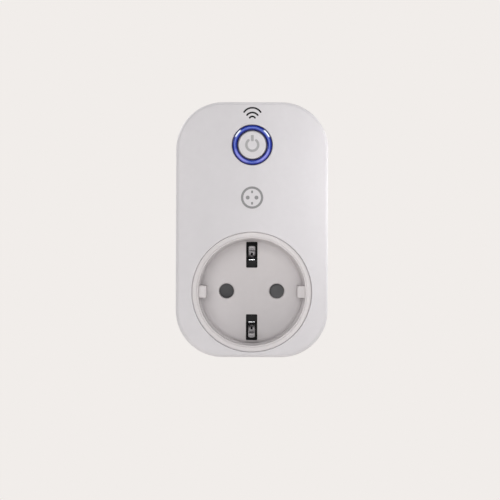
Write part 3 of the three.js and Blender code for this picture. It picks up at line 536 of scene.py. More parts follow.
def circuit_board(name, mask, trace):
    """Solder mask over etched traces, with plated pads."""
    material, tree, shader, place = start_material(name)
    layout = {"Vector": place, "Scale": 1 / (BOARD_CELL * MM), "Randomness": 0.9}
    cells = add_node(tree, "ShaderNodeTexVoronoi", layout, distance="CHEBYCHEV")
    next_cells = add_node(
        tree, "ShaderNodeTexVoronoi", layout, distance="CHEBYCHEV", feature="F2"
    )
    inward = calculate(tree, "SUBTRACT", next_cells.outputs["Distance"], cells.outputs["Distance"])
    outline = product(
        tree,
        spread(tree, inward, 0.0, 1.0, 0.06, 0.08),
        spread(tree, inward, 1.0, 0.0, 0.13, 0.15),
    )
    wave_scale = WAVE_WIDTH / (TRACE_PITCH * MM)
    lines = add_node(
        tree, "ShaderNodeTexWave", {"Vector": place, "Scale": wave_scale}, bands_direction="Z"
    )
    lot = add_node(tree, "ShaderNodeSeparateXYZ", {0: cells.outputs["Color"]}).outputs["X"]
    bundle = product(
        tree,
        spread(tree, lines.outputs["Fac"], 0.0, 1.0, 0.6, 0.7),
        calculate(tree, "GREATER_THAN", lot, 0.55),
        spread(tree, inward, 0.0, 1.0, 0.2, 0.22),
    )
    etched = calculate(tree, "MAXIMUM", outline, bundle)
    traces = tint(tree, etched, (*mask, 1.0), (*trace, 1.0))
    pads = add_node(tree, "ShaderNodeTexVoronoi", {
        "Vector": place,
        "Scale": 1 / (PAD_PITCH * MM),
        "Randomness": 0.8,
    })
    pad = spread(tree, pads.outputs["Distance"], 1.0, 0.0, 0.13, 0.16)
    finished = tint(tree, pad, traces, SOLDER)
    tree.links.new(finished, shader.inputs["Base Color"])
    tree.links.new(pad, shader.inputs["Metallic"])
    tree.links.new(spread(tree, noise(tree, place, 1.5), 0.25, 0.42), shader.inputs["Roughness"])
    tree.links.new(bump(tree, etched, 0.03), shader.inputs["Normal"])
    return material


def striped_sleeve(name, main, stripe):
    """Wire insulation in one colour with stripes of another, one beside the other along X."""
    material, tree, shader, place = start_material(name)
    waves = add_node(tree, "ShaderNodeTexWave", {
        "Vector": place,
        "Scale": 1 / (4.0 * MM),
        "Distortion": 0.6,
    }, bands_direction="X")
    band_mask = spread(tree, waves.outputs["Fac"], 0.0, 1.0, 0.55, 0.62)
    mixed = tint(tree, band_mask, (*main, 1.0), (*stripe, 1.0))
    tree.links.new(mixed, shader.inputs["Base Color"])
    tree.links.new(spread(tree, noise(tree, place, 0.8), 0.38, 0.52), shader.inputs["Roughness"])
    tree.links.new(bump(tree, noise(tree, place, 0.5), 0.01), shader.inputs["Normal"])
    return material


def glowing_led(name):
    """Clear resin over a small blue chip."""
    material, tree, shader, place = start_material(name)
    cells = add_node(tree, "ShaderNodeTexVoronoi", {"Vector": place, "Scale": 1 / (1.4 * MM)})
    chip = spread(tree, cells.outputs["Distance"], 1.0, 0.0, 0.15, 0.4)
    colour = tint(tree, chip, (0.75, 0.80, 0.88, 1.0), (0.15, 0.3, 1.0, 1.0))
    tree.links.new(colour, shader.inputs["Base Color"])
    tree.links.new(colour, shader.inputs["Emission Color"])
    shader.inputs["Emission Strength"].default_value = 1.2
    shader.inputs["Roughness"].default_value = 0.2
    return material


def make_materials():
    """Every finish, by its material slot in the record, and the three print inks."""
    return {
        "shell": moulded_plastic("shell_plastic", (0.636, 0.621, 0.644), 0.5),
        "socket": moulded_plastic("socket_plastic", (0.649, 0.622, 0.630), 0.46),
        "button": moulded_plastic("button_plastic", (0.624, 0.610, 0.630), 0.44, 0.2, 0.008),
        "black_plastic": moulded_plastic("black_plastic", (0.008, 0.008, 0.009), 0.6, 0.35, 0.015, 0.25),
        "shutter": moulded_plastic("shutter_plastic", (0.042, 0.042, 0.046), 0.42),
        "light_ring": lit_ring_plastic("ring_plastic"),
        "spring_steel": worked_metal("spring_steel", (0.46, 0.47, 0.48), 0.3, (1.0, 0.2, 1.0)),
        "brass": worked_metal("contact_brass", (0.62, 0.42, 0.13), 0.3, (1.0, 0.1, 1.0)),
        "tinned_steel": worked_metal("tinned_steel", (0.70, 0.71, 0.73), 0.26, (1.0, 0.15, 0.15)),
        "nickel_plate": worked_metal("nickel_plate", (0.62, 0.61, 0.585), 0.2, (1.0, 0.12, 1.0)),
        "zinc_steel": worked_metal("zinc_steel", (0.45, 0.47, 0.50), 0.35, (0.3, 1.0, 0.3)),
        "circuit_board": circuit_board("green_board", (0.013, 0.10, 0.037), (0.03, 0.19, 0.07)),
        "module_board": circuit_board("module_board", (0.007, 0.014, 0.026), (0.02, 0.04, 0.07)),
        "relay_case": moulded_plastic("relay_case", (0.017, 0.06, 0.21), 0.35, 0.4, 0.01),
        "capacitor_sleeve": moulded_plastic("capacitor_sleeve", (0.012, 0.017, 0.03), 0.3, 0.8, 0.01),
        "film_case": moulded_plastic("film_case", (0.58, 0.38, 0.04), 0.4, 0.4, 0.01),
        "varistor_coat": moulded_plastic("varistor_coat", (0.028, 0.11, 0.42), 0.4, 0.9, 0.04),
        "fuse_body": moulded_plastic("fuse_body", (0.25, 0.10, 0.036), 0.5, 0.4, 0.01),
        "chip_epoxy": moulded_plastic("chip_epoxy", (0.014, 0.016, 0.017), 0.55, 0.2, 0.01),
        "ferrite": moulded_plastic("ferrite", (0.044, 0.042, 0.045), 0.6, 0.6, 0.03),
        "led": glowing_led("led_resin"),
        "brown_insulation": moulded_plastic("brown_insulation", (0.105, 0.034, 0.014), 0.4, 0.6, 0.01),
        "blue_insulation": moulded_plastic("blue_insulation", (0.023, 0.093, 0.43), 0.4, 0.6, 0.01),
        "earth_insulation": striped_sleeve("earth_insulation", (0.10, 0.30, 0.03), (0.62, 0.52, 0.03)),
        "wifi_print": moulded_plastic("dark_print", (0.009, 0.008, 0.010), 0.6, 0.15, 0.003, 0.2),
        "mark_print": moulded_plastic("grey_print", (0.24, 0.24, 0.246), 0.5, 0.15, 0.003),
        "power_print": moulded_plastic("pale_print", (0.365, 0.365, 0.372), 0.5, 0.15, 0.003),
    }


# ---- housing ----

def edge_profile(flat_y, direction, radius):
    """(inset, y) points of a rounded rim, from the flat face out to the side wall."""
    points = []
    for i in range(ROUND_STEPS + 1):
        angle = math.radians(90 * i / ROUND_STEPS)
        depth = radius * (1 - math.cos(angle))
        points.append((radius * (1 - math.sin(angle)), flat_y + direction * depth))
    return points


def hole_tool(radius, face, depth, rim=0.25, x=0.0, z=0.0, steps=TURN_STEPS, outward=-1):
    """A turned cutter for a hole with a rounded rim, that opens towards -Y or, outward 1, +Y."""
    lead = rim * LEAD_IN
    part = rim * RIM_SHARE
    profile = [
        (0, face + outward * PAST),
        (radius + rim + lead, face + outward * lead),
        (radius + rim, face),
        (radius + part, face - outward * part),
        (radius, face - outward * rim),
        (radius, face - outward * depth),
        (0, face - outward * depth),
    ]
    return lathe(profile, x, z, steps)


def back_hole_tool(radius, face, depth, rim, x, z):
    """The same, in the back of the housing."""
    return hole_tool(radius, face, depth, rim, x, z, 64, outward=1)


def rod(radius, front, back, x=0.0, z=0.0, steps=TURN_STEPS):
    """A plain round bar along Y."""
    return lathe([(0, front), (radius, front), (radius, back), (0, back)], x, z, steps)


def tube(x, z, outer, inner, front, back, steps=32):
    """A round tube along Y."""
    profile = [(outer, front), (outer, back), (inner, back), (inner, front)]
    return lathe(profile, x, z, steps, closed=True)


RING_HOLE_GAP = 0.06
LEDGE_DEPTH = 1.5
LEDGE_RADIUS = 21.7


def make_front_cover(materials):
    """The front half of the housing, with its holes for the ring and the socket and its screw posts."""
    inside = BODY_FRONT + WALL
    profile = edge_profile(BODY_FRONT, 1, EDGE_ROUND)
    profile += [
        (0, PARTING_FRONT - SEAM_CHAMFER),
        (SEAM_CHAMFER * RIM_SHARE, PARTING_FRONT - SEAM_CHAMFER * RIM_SHARE),
        (SEAM_CHAMFER, PARTING_FRONT),
        (WALL, PARTING_FRONT),
        (WALL, inside + 1),
        (WALL + RIM_SHARE, inside + RIM_SHARE),
        (WALL + 1, inside),
    ]
    cover = solid(loft([body_ring(inset, y) for inset, y in profile]))
    ledge = SOCKET_FACE + LEDGE_DEPTH
    cut(
        cover,
        hole_tool(RING_OUTER + RING_HOLE_GAP, BODY_FRONT, WALL + PAST, 0.32, 0, BUTTON_Z, 128),
        hole_tool(SOCKET_HOLE_RADIUS, BODY_FRONT, ledge - BODY_FRONT, 0.3, steps=FINE_TURN_STEPS),
        rod(LEDGE_RADIUS, ledge - PAST, inside + PAST, steps=FINE_TURN_STEPS),
    )
    post, pilot, post_front, post_back = 2.6, 1.5, inside - 0.5, -14
    for x, z in SCREW_PLACES:
        join(cover, tube(x, z, post, pilot, post_front, post_back))
    return piece(cover, "front_shell", materials["shell"], "housing", ["front_cover"])


BOSS_RIM = 0.9
BOSS_ROOT = 0.7
BOSS_SUNK = 1.0


def boss_outline(steps=10):
    """The plug boss's section: a circle with two keyways and two earth channels."""
    key_angle = math.degrees(math.asin(KEYWAY_HALF_WIDTH / BOSS_RADIUS))
    channel_angle = math.degrees(math.asin(CHANNEL_HALF_WIDTH / BOSS_RADIUS))
    outline = []
    for quarter in range(4):
        start, end = (key_angle, channel_angle) if quarter % 2 == 0 else (channel_angle, key_angle)
        floor = CHANNEL_FLOOR if quarter % 2 == 0 else KEYWAY_FLOOR
        half = CHANNEL_HALF_WIDTH if quarter % 2 == 0 else KEYWAY_HALF_WIDTH
        turn = 90 * quarter
        outline += arc((0, 0), BOSS_RADIUS, turn + start, turn + 90 - end, steps * 2)
        middle = math.radians(turn + 90)
        along = (math.cos(middle), math.sin(middle))
        across = (-along[1], along[0])
        for side in (-1, 1):
            outline.append((
                along[0] * floor + across[0] * side * half,
                along[1] * floor + across[1] * side * half,
            ))
    return outline


def make_plug_boss():
    """The boss's solid, without its holes, rounded at its end."""
    outline = boss_outline()
    shoulder = BOSS_BACK - BOSS_RIM
    sections = [(-BOSS_SUNK, 1.0), (shoulder, 1.0)]
    for angle in (22.5, 45, 67.5, 90):
        turn = math.radians(angle)
        drawn_in = BOSS_RIM * (1 - math.cos(turn))
        sections.append((shoulder + BOSS_RIM * math.sin(turn), 1 - drawn_in / BOSS_RADIUS))
    return loft([[(x * scale, y, z * scale) for x, z in outline] for y, scale in sections])


def make_lip():
    """The rear half's lip, which reaches into the front cover."""
    outer = WALL + LIP_GAP
    inner = outer + LIP_THICKNESS
    root = PARTING_BACK + LIP_ROOT
    tip = PARTING_BACK - LIP_DEPTH
    sections = [
        (outer, root), (outer, tip + RIM_SHARE), (outer + RIM_SHARE, tip), (inner, tip), (inner, root),
    ]
    return loft([body_ring(inset, y) for inset, y in sections], closed=True)


def make_boss_collar():
    """A hollow fillet where the plug boss meets the back."""
    foot = BOSS_RADIUS + BOSS_ROOT
    profile = [(0, -BOSS_SUNK), (foot, -BOSS_SUNK)]
    profile += arc((foot, BOSS_ROOT), BOSS_ROOT, -90, -180, 4)
    return lathe(profile + [(0, BOSS_ROOT)], steps=128)


def make_rear_housing(materials):
    """The back half of the housing, with its lip, plug boss, screw sleeves and holes."""
    profile = [
        (WALL + 1, -WALL),
        (WALL + RIM_SHARE, -WALL - RIM_SHARE),
        (WALL, -WALL - 1),
        (WALL, PARTING_BACK),
        (SEAM_CHAMFER, PARTING_BACK),
        (SEAM_CHAMFER * RIM_SHARE, PARTING_BACK + SEAM_CHAMFER * RIM_SHARE),
        (0, PARTING_BACK + SEAM_CHAMFER),
    ]
    profile += list(reversed(edge_profile(BODY_BACK, -1, REAR_EDGE_ROUND)))
    rear = solid(loft([body_ring(inset, y) for inset, y in profile]))
    join(rear, make_lip(), make_boss_collar(), make_plug_boss())
    sleeve, sleeve_front, sleeve_back, bore, seat_depth = 3.4, -13.7, -WALL + 0.5, 2.75, 8.0
    shank, shank_front, shank_back = 1.5, -14, -7
    for x, z in SCREW_PLACES:
        join(rear, rod(sleeve, sleeve_front, sleeve_back, x, z, 40))
        cut(rear, back_hole_tool(bore, BODY_BACK, seat_depth, 0.3, x, z))
        cut(rear, rod(shank, shank_front, shank_back, x, z, 24))
    pin_hole, earth_hole, depth = 2.55, 2.6, 2.6
    for x in (-PIN_OFFSET, PIN_OFFSET):
        cut(rear, back_hole_tool(pin_hole, BOSS_BACK, depth, 0.25, x, 0))
    cut(rear, back_hole_tool(earth_hole, BOSS_BACK, depth, 0.5, 0, EARTH_HOLE_OFFSET))
    half_width, window_front, window_back = 2.7, 12.3, 13.7
    for side in (-1, 1):
        low_z, high_z = sorted((side * (CHANNEL_FLOOR - 2.2), side * (CHANNEL_FLOOR + 2)))
        low, high = (-half_width, window_front, low_z), (half_width, window_back, high_z)
        cut(rear, block(low, high, 0.05))
    return piece(rear, "rear_shell", materials["shell"], "housing", ["rear_housing"])


# ---- socket ----

def make_socket_insert(materials):
    """A cup with a filleted floor, a stepped wall, a rounded mouth and a grooved flange."""
    floor_edge = (RECESS_RADIUS - FLOOR_FILLET, FLOOR_Y - FLOOR_FILLET)
    mouth_edge = (MOUTH_RADIUS + MOUTH_ROUND, SOCKET_FACE + MOUTH_ROUND)
    flange_edge = (FLANGE_RADIUS - FLANGE_ROUND, SOCKET_FACE + FLANGE_ROUND)
    profile = [(0, FLOOR_Y)]
    profile += arc(floor_edge, FLOOR_FILLET, 90, 0, ROUND_STEPS)
    profile += [
        (RECESS_RADIUS + WALL_DRAFT, WALL_STEP_Y),
        (RECESS_RADIUS + WALL_DRAFT + WALL_STEP, WALL_STEP_Y - WALL_STEP),
    ]
    profile += arc(mouth_edge, MOUTH_ROUND, 180, 270, ROUND_STEPS)
    profile += [
        (GROOVE_RADIUS - GROOVE_WIDTH / 2, SOCKET_FACE),
        (GROOVE_RADIUS - GROOVE_WIDTH / 4, SOCKET_FACE + GROOVE_DEPTH),
        (GROOVE_RADIUS + GROOVE_WIDTH / 4, SOCKET_FACE + GROOVE_DEPTH),
        (GROOVE_RADIUS + GROOVE_WIDTH / 2, SOCKET_FACE),
    ]
    profile += arc(flange_edge, FLANGE_ROUND, 270, 360, ROUND_STEPS)
    profile += [
        (FLANGE_RADIUS, FLANGE_BACK),
        (CUP_RADIUS, FLANGE_BACK),
        (CUP_RADIUS, FLOOR_BACK),
        (0, FLOOR_BACK),
    ]
    insert = solid(lathe(profile, steps=FINE_TURN_STEPS))
    for side in (-1, 1):
        low_x, high_x = sorted((side * RIB_INNER, side * (MOUTH_RADIUS + MOUTH_ROUND)))
        low = (low_x, SOCKET_FACE + RIB_SETBACK, -RIB_HALF_WIDTH)
        high = (high_x, FLOOR_Y + 0.6, RIB_HALF_WIDTH)
        join(insert, block(low, high, 0.5, 0.5))
    for side in (-1, 1):
        cut(insert, hole_tool(PIN_HOLE_RADIUS, FLOOR_Y, 4, 0.55, side * PIN_OFFSET, 0, 64))
        low_z, high_z = sorted((side * SLOT_INNER, side * SLOT_OUTER))
        outline = rounded_outline(-SLOT_HALF_WIDTH, SLOT_HALF_WIDTH, low_z, high_z, 0.35, 6)
        cut(insert, prism(outline, FLOOR_Y - 2.0, FLOOR_BACK + 1))
    return piece(insert, "socket_bowl", materials["socket"], "housing", ["socket_insert"])


# where the upper earth clip's leaf bends, as (y, z)
CLIP_BENDS = [
    (-15.6, 12.2), (-17.4, 12.4), (-19.6, 13.6), (-21.6, 15.3),
    (-23.8, 16.1), (-28.0, 15.6), (-30.4, 16.0), (-31.6, 16.8),
]


def clip_line(count):
    """Points of a smooth curve through the clip's bends."""
    knots = [CLIP_BENDS[0]] + CLIP_BENDS + [CLIP_BENDS[-1]]
    points = []
    spans = len(knots) - 3
    for i in range(count + 1):
        at = min(i * spans / count, spans - 1e-6)
        k = int(at)
        t = at - k
        a, b, c, d = (Vector(knots[k + n]) for n in range(4))
        points.append(0.5 * (2 * b + (c - a) * t + (2 * a - 5 * b + 4 * c - d) * t * t
                             + (3 * b - a - 3 * c + d) * t * t * t))
    return points


CLIP_THICKNESS = 0.55
CLIP_HALF_WIDTH = 1.2
CLIP_TIP_SHARE = 0.05


def make_earth_clip(side, materials):
    """A sprung leaf with rounded edges, a rounded tip and a pressed slot in its sloped part."""
    line = clip_line(64)
    total = len(line) - 1
    rings = []
    for i, at in enumerate(line):
        ahead = (line[min(i + 1, total)] - line[max(i - 1, 0)]).normalized()
        outward = Vector((-ahead.y, ahead.x))
        if outward.y < 0:
            outward = -outward
        past = max(0.0, (i / total - 1 + CLIP_TIP_SHARE) / CLIP_TIP_SHARE)
        half_width = CLIP_HALF_WIDTH * math.sqrt(max(0.04, 1 - past ** 2))
        section = rounded_outline(
            -half_width, half_width, -CLIP_THICKNESS / 2, CLIP_THICKNESS / 2, CLIP_THICKNESS * 0.4, 3
        )
        ring = []
        for x, lift in section:
            point = at + outward * lift
            ring.append((x, point.x, side * point.y))
        rings.append(ring)
    leaf = solid(loft(rings))
    half_width, half_length, reach, tilt, slot_y, slot_z = 0.42, 1.15, 1.2, 40.0, -19.9, 13.95
    outline = rounded_outline(-half_width, half_width, -half_length, half_length, half_width * 0.95, 6)
    slot = prism(outline, -reach, reach)
    slot.transform(Matrix.Rotation(math.radians(-side * tilt), 4, "X"))
    slot.transform(Matrix.Translation((0.0, slot_y, side * slot_z)))
    cut(leaf, slot)
    word = "upper" if side > 0 else "lower"
    return piece(
        leaf, f"clip_leaf_{word}", materials["tinned_steel"], f"{word}_clip",
        [f"earth_clip_{word}"], 50.0,
    )


def pad_cutter(x, side, face):
    """A square cutter at x whose floor slopes from shallow to deep."""
    half, above, deep, shallow = 2.6, 0.5, 0.9, 0.15
    corners = [(x - half, -half), (x + half, -half), (x + half, half), (x - half, half)]
    near = [(px, face - above, pz) for px, pz in corners]
    far = [(px, face + (deep if side * pz > 0 else shallow), pz) for px, pz in corners]
    return loft([near, far])


def make_shutter(materials):
    """A two-armed shutter with a sloped pad behind each pin hole."""
    low, high = box_mm("socket_shutter")
    half_width, corner, chamfer = 3.5, 3.45, 0.25
    hub, bore = 4.4, 2.3
    arm = rounded_outline(low.x, high.x, -half_width, half_width, corner, 14)
    shutter = solid(prism(arm, low.y, high.y, chamfer))
    front, back = low.y + 0.1, high.y - 0.2
    hub_profile = [(0, front), (hub - 0.2, front), (hub, low.y + 0.3), (hub, back), (0, back)]
    join(shutter, lathe(hub_profile, steps=64))
    for side in (-1, 1):
        cut(shutter, pad_cutter(side * PIN_OFFSET, side, low.y))
    cut(shutter, rod(bore, low.y - PAST, high.y + PAST, steps=48))
    return piece(
        shutter, "shutter_plate", materials["shutter"], "shutter", ["socket_shutter"]
    )


# ---- button and ring ----

RING_CROWN = 0.75
CAP_DISH = [(0, 0.12), (1.5, 0.115), (3.0, 0.08), (4.1, 0.03)]
CAP_RIM = 0.5


def make_light_ring(materials):
    """A light guide with a domed crown, a retaining rim and a skirt down to the LEDs."""
    middle = (RING_INNER + RING_OUTER) / 2
    half = (RING_OUTER - RING_INNER) / 2
    flange, skirt = RING_OUTER + 1.15, RING_INNER + 0.55
    flange_front, flange_back, step_front = -35.5, -34.5, -35.2
    profile = []
    for angle in range(180, -1, -9):
        turn = math.radians(angle)
        profile.append((
            middle + half * math.cos(turn),
            RING_FRONT + RING_CROWN - RING_CROWN * math.sin(turn),
        ))
    profile += [(RING_OUTER, flange_front), (flange, flange_front), (flange, flange_back)]
    profile += [(RING_OUTER, flange_back), (RING_OUTER, ring_high.y), (skirt, ring_high.y)]
    profile += [(skirt, step_front), (RING_INNER, step_front)]
    ring = solid(lathe(profile, 0, BUTTON_Z, 128, closed=True))
    return piece(
        ring, "ring_lens", materials["light_ring"], "housing", ["light_ring"], 40.0
    )


def make_power_button(materials):
    """A cap with a soft rim and a shallow dish, a retaining flange and a stem."""
    front = button_low.y
    flange, flange_front, flange_back, stem = BUTTON_RADIUS + 0.5, -34.9, -33.9, 2.0
    profile = [(radius, front + sunk) for radius, sunk in CAP_DISH]
    profile += arc((BUTTON_RADIUS - CAP_RIM, front + CAP_RIM), CAP_RIM, -90, 0, 6)
    profile += [(BUTTON_RADIUS, flange_front), (flange, flange_front), (flange, flange_back)]
    profile += [(stem, flange_back), (stem, button_high.y), (0, button_high.y)]
    cap = solid(lathe(profile, 0, BUTTON_Z))
    return piece(cap, "button_cap", materials["button"], "button", ["power_button"])


def around(centre, radius, angle):
    """The point at an angle in degrees on a circle."""
    turn = math.radians(angle)
    return (centre[0] + radius * math.cos(turn), centre[1] + radius * math.sin(turn))


def band(centre, radius, width, start, end, front, back, steps=24):
    """A flat arc with round ends, as a thin solid."""
    half = width / 2
    outline = arc(centre, radius + half, start, end, steps)
    outline += arc(around(centre, radius, end), half, end, end + 180, 8)[1:-1]
    outline += arc(centre, radius - half, end, start, steps)
    outline += arc(around(centre, radius, start), half, start + 180, start + 360, 8)[1:-1]
    return prism(outline, front, back)


def merged(parts):
    """Several closed shapes as one object."""
    whole = bmesh.new()
    for part in parts:
        mesh = bpy.data.meshes.new("part")
        part.to_mesh(mesh)
        part.free()
        whole.from_mesh(mesh)
        bpy.data.meshes.remove(mesh)
    return solid(whole)


INK_RAISED = 0.03
INK_SUNK = 0.05
WIFI_LINE = 0.62


def make_wifi_print(front, back, materials):
    """Three arcs above the button."""
    waves = [
        band((0.0, BUTTON_Z + height), radius, WIFI_LINE, 90 - half_angle, 90 + half_angle, front, back)
        for height, radius, half_angle in WIFI_ARCS
    ]
    piece(merged(waves), "print_wifi", materials["wifi_print"], "housing")


def make_mark_print(front, back, materials):
    """A generic pictogram of a socket: a circle, two pins and two earth ticks."""
    middle, outer, inner = 34.8, 4.1, 3.25
    pin_radius, pin_offset = 0.72, 1.6
    tick_start, tick_end, half_width, corner = 1.6, 2.6, 0.36, 0.2
    symbol = [tube(0.0, middle, outer, inner, front, back, 80)]
    for side in (-1, 1):
        symbol.append(rod(pin_radius, front, back, side * pin_offset, middle, 40))
    for side in (-1, 1):
        low, high = sorted((middle + tick_start * side, middle + tick_end * side))
        tick = rounded_outline(-half_width, half_width, low, high, corner, 5)
        symbol.append(prism(tick, front, back))
    piece(merged(symbol), "print_mark", materials["mark_print"], "housing")


def make_power_print(materials):
    """The power symbol on the cap: an open circle and a stem."""
    radius, line, start, end = 2.18, 0.9, 130, 410
    stem_start, stem_end, half_width, corner = 1.3, 4.0, 0.52, 0.45
    cap_face = button_low.y + 0.13
    front, back = cap_face - 0.08, cap_face + 0.1
    circle = band((0.0, BUTTON_Z), radius, line, start, end, front, back, 56)
    low, high = BUTTON_Z + stem_start, BUTTON_Z + stem_end
    stem = rounded_outline(-half_width, half_width, low, high, corner, 8)
    symbol = merged([circle, prism(stem, front, back)])
    piece(symbol, "print_power", materials["power_print"], "button")


def make_prints(materials):
    """The printed marks on the face and on the cap."""
    front, back = BODY_FRONT - INK_RAISED, BODY_FRONT + INK_SUNK
    make_wifi_print(front, back, materials)
    make_mark_print(front, back, materials)
    make_power_print(materials)


# ---- plug pins and screws ----

# each kind of screw's shank radius and head height
SCREWS = {
    "housing": {"shank": 1.25, "head": 1.9},
    "board": {"shank": 1.05, "head": 1.5},
    "carrier": {"shank": 1.2, "head": 1.6},
}
SCREW_NECK = 0.9
HEAD_ROUND = 0.9


def make_plug_pin(side, materials):
    """A round mains pin with a collar inside the boss and a rounded nose."""
    name = "live" if side < 0 else "neutral"
    low, high = box_mm(f"plug_pin_{name}")
    radius, neck, collar, collar_front, collar_back = 2.4, 1.6, 3.5, 12.4, 14.1
    nose, nose_power = 2.3, 0.8
    nose_start = high.y - nose
    profile = [(0, low.y), (neck, low.y), (neck, collar_front), (collar, collar_front)]
    profile += [(collar, collar_back), (radius, collar_back), (radius, nose_start)]
    for angle in range(8, 90, 8):
        turn = math.radians(angle)
        profile.append((radius * math.cos(turn) ** nose_power, nose_start + nose * math.sin(turn)))
    profile += [(0, high.y)]
    pin = solid(lathe(profile, side * PIN_OFFSET, 0, 64))
    node = f"plug_pin_{name}"
    return piece(pin, f"pin_{name}", materials["nickel_plate"], "housing", [node], 40.0)


def thread_profile(shank, bottom, head_front):
    """(radius, y) points of a screw's pointed tip and its thread, up to just below the head."""
    pitch, root = 0.9, shank * 0.78
    points = [(0, bottom), (shank * 0.35, bottom), (shank * 0.8, bottom + 1.2)]
    at = bottom + 1.6
    while at + pitch < head_front - 0.6:
        points += [(root, at), (shank, at + pitch * 0.45), (root, at + pitch * 0.9)]
        at += pitch
    return points


def make_screw(node, materials):
    """A pan-head screw with a cross recess and a threaded shank."""
    low, high = box_mm(node)
    x, z = (low.x + high.x) / 2, (low.z + high.z) / 2
    head = (high.x - low.x) / 2
    kind = SCREWS[node.split("_")[0]]
    head_front = high.y - kind["head"]
    profile = thread_profile(kind["shank"], low.y, head_front)
    profile += [(kind["shank"] * SCREW_NECK, head_front), (head, head_front)]
    profile += arc((head - HEAD_ROUND, high.y - HEAD_ROUND), HEAD_ROUND, 0, 90, 5)
    profile += [(0, high.y)]
    made = solid(lathe(profile, x, z, 40))
    reach, half_width, depth = head * 0.62, 0.32, 0.9
    for wide, tall in ((reach, half_width), (half_width, reach)):
        cross_low = (x - wide, high.y - depth, z - tall)
        cross_high = (x + wide, high.y + PAST, z + tall)
        cut(made, block(cross_low, cross_high, 0.08))
    return piece(made, f"{node}_turned", materials["zinc_steel"], "housing", [node])


# ---- carried-over parts ----

# how far each carried-over node's edges are rounded, in millimetres; 0 is smoothed as a whole
KEPT_NODES = {
    "tact_switch_body": 0.2, "tact_switch_plunger": 0.2, "button_board": 0.1,
    "led_1": 0.12, "led_2": 0.12, "led_3": 0.12, "led_4": 0.12, "contact_carrier": 0.12,
    "shutter_spring": 0.0, "live_contact": 0.08, "neutral_contact": 0.08, "earth_bridge": 0.1,
    "plug_earth_yoke": 0.15, "main_board": 0.12, "relay": 0.5, "transformer": 0.3,
    "filter_capacitor": 0.25, "film_capacitor": 0.4, "varistor": 0.8, "fuse": 0.4,
    "rectifier": 0.3, "wifi_module_board": 0.08, "wifi_shield_can": 0.25, "board_link": 0.15,
    "live_wire": 0.0, "neutral_wire": 0.0, "relay_output_wire": 0.0, "neutral_link_wire": 0.0,
    "earth_wire": 0.0,
}

# corners closer than this, in millimetres, are the same corner
WELD_REACH = 0.002
SHARP_ANGLE = 40


def finish_kept_nodes(materials):
    """Rounds the edges of the CAD nodes that stay, and gives each its material."""
    slots = {entry["node"]: entry["material_slot"] for entry in frame["record"]["subparts"]}
    for node, width in KEPT_NODES.items():
        kept = frame["nodes"][node]
        kept.data.materials.clear()
        kept.data.materials.append(materials[slots[node]])
        kept.data.shade_smooth()
        kept.modifiers.new("joined_facets", "WELD").merge_threshold = WELD_REACH * MM
        if width:
            rounding = kept.modifiers.new("rounding", "BEVEL")
            rounding.width = width * MM
            rounding.segments = 3
            rounding.limit_method = "ANGLE"
            rounding.angle_limit = math.radians(SHARP_ANGLE)
            rounding.use_clamp_overlap = True
        else:
            kept.modifiers.new("smoothing", "SUBSURF").levels = 1
        shading = kept.modifiers.new("even_shading", "WEIGHTED_NORMAL")
        shading.keep_sharp = True


# ---- studio ----

CAMERA_PLACE = (-0.7, -699.0, 15.5)
CAMERA_LENS = 129.3
CAMERA_ROLL = -0.2


def make_camera():
    """A long lens from straight ahead, at the photograph's distance."""
    data = bpy.data.cameras.new("camera")
    data.sensor_width = 36.0
    data.lens = CAMERA_LENS
    data.dof.use_dof = False
    made = bpy.data.objects.new("camera", data)
    bpy.context.scene.collection.objects.link(made)
    made.location = Vector(CAMERA_PLACE) * MM
    made.rotation_euler = (math.pi / 2, math.radians(CAMERA_ROLL), 0.0)
    bpy.context.scene.camera = made


def make_light(name, place, target, size, power, colour):
    """A soft round lamp at a place in metres, aimed at a target, that the camera can't see."""
    data = bpy.data.lights.new(name, "AREA")
    data.shape = "DISK"
    data.size = size
    data.energy = power
    data.color = colour
    made = bpy.data.objects.new(name, data)
    bpy.context.scene.collection.objects.link(made)
    made.location = place
    made.rotation_euler = (Vector(target) - Vector(place)).to_track_quat("-Z", "Y").to_euler()
    made.visible_camera = False
    return made


SURROUND = (0.880, 0.847, 0.823, 1.0)
# the surround's strength as light, where the camera sees it at 1
WORLD_LIGHT = 0.22
# in metres
FLOOR_HEIGHT = -0.28


def make_world():
    """A pale surround for the camera, and a dimmer one for the light it sheds on the object."""
    world = bpy.data.worlds.new("studio")
    world.use_nodes = True
    tree = world.node_tree
    background = tree.nodes["Background"]
    background.inputs["Color"].default_value = SURROUND
    seen = add_node(tree, "ShaderNodeLightPath").outputs["Is Camera Ray"]
    tree.links.new(spread(tree, seen, WORLD_LIGHT, 1.0, 0.0, 1.0), background.inputs["Strength"])
    bpy.context.scene.world = world


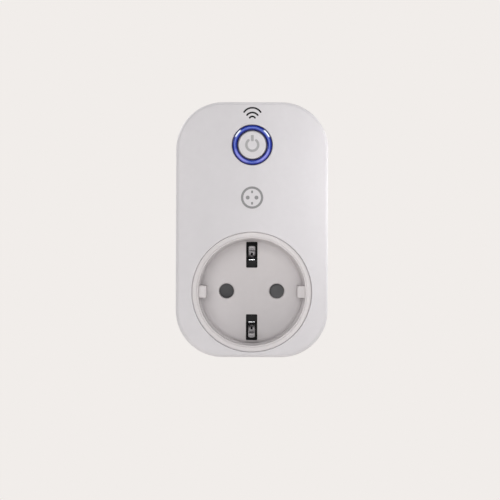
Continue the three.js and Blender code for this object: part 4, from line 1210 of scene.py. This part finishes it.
def make_floor():
    """A pale floor well below the object, that fades out into the surround."""
    bm = bmesh.new()
    bmesh.ops.create_circle(bm, cap_ends=True, segments=96, radius=4.0)
    floor = solid(bm, "floor")
    floor.location = (0.0, 0.0, FLOOR_HEIGHT)
    material, tree, shader, place = start_material("floor_paint")
    patches = spread(tree, noise(tree, place, 60.0), 0.0, 1.0)
    tone = tint(tree, patches, (0.90, 0.87, 0.845, 1.0), (0.93, 0.90, 0.87, 1.0))
    tree.links.new(tone, shader.inputs["Base Color"])
    shader.inputs["Roughness"].default_value = 0.9
    reach = on_vectors(tree, "LENGTH", place)["Value"]
    tree.links.new(spread(tree, reach, 1.0, 0.0, 0.4, 1.2), shader.inputs["Alpha"])
    floor.data.materials.append(material)


WARM = (1.0, 0.985, 0.97)
WHITE = (1.0, 1.0, 1.0)
# name, place in metres, size, power and colour of each lamp aimed at the object's middle
LAMPS = [
    ("key", (-0.12, -0.80, 0.13), 0.35, 1.15, WARM),
    ("front", (0.0, -0.80, 0.0), 0.50, 1.65, WHITE),
    ("low_front", (0.0, -0.45, -0.25), 0.25, 0.06, WHITE),
    ("top", (0.0, 0.05, 0.90), 0.50, 3.2, WARM),
    ("left", (-0.75, -0.32, 0.30), 0.35, 1.1, WHITE),
    ("right", (0.80, 0.12, 0.20), 0.50, 1.3, WHITE),
    ("back", (0.10, 0.85, 0.15), 0.40, 0.8, WHITE),
    ("back_left", (-0.65, 0.45, 0.40), 0.30, 3.6, WARM),
    ("back_right", (0.60, 0.45, 0.10), 0.45, 1.6, WHITE),
]
OBJECT_MIDDLE = (0.0, -0.02, 0.025)


def make_right_fill():
    """A small tall lamp close to the right of the face, left out of its gloss."""
    fill = make_light("right_fill", (0.075, -0.070, 0.04), (0.02, -0.038, 0.03), 0.03, 0.030, WHITE)
    fill.data.shape = "ELLIPSE"
    fill.data.size_y = 0.09
    fill.visible_glossy = False


def make_studio():
    """The surround, the floor and the lamps."""
    bpy.context.scene.view_settings.view_transform = "Standard"
    make_world()
    make_floor()
    for name, place, size, power, colour in LAMPS:
        make_light(name, place, OBJECT_MIDDLE, size, power, colour)
    make_right_fill()


make_camera()
make_studio()
finishes = make_materials()
make_front_cover(finishes)
make_rear_housing(finishes)
make_socket_insert(finishes)
make_light_ring(finishes)
make_power_button(finishes)
make_prints(finishes)
make_shutter(finishes)
for clip_side in (-1, 1):
    make_earth_clip(clip_side, finishes)
    make_plug_pin(clip_side, finishes)
for screw_node in sorted(frame["nodes"]):
    if "_screw_" in screw_node:
        make_screw(screw_node, finishes)
finish_kept_nodes(finishes)
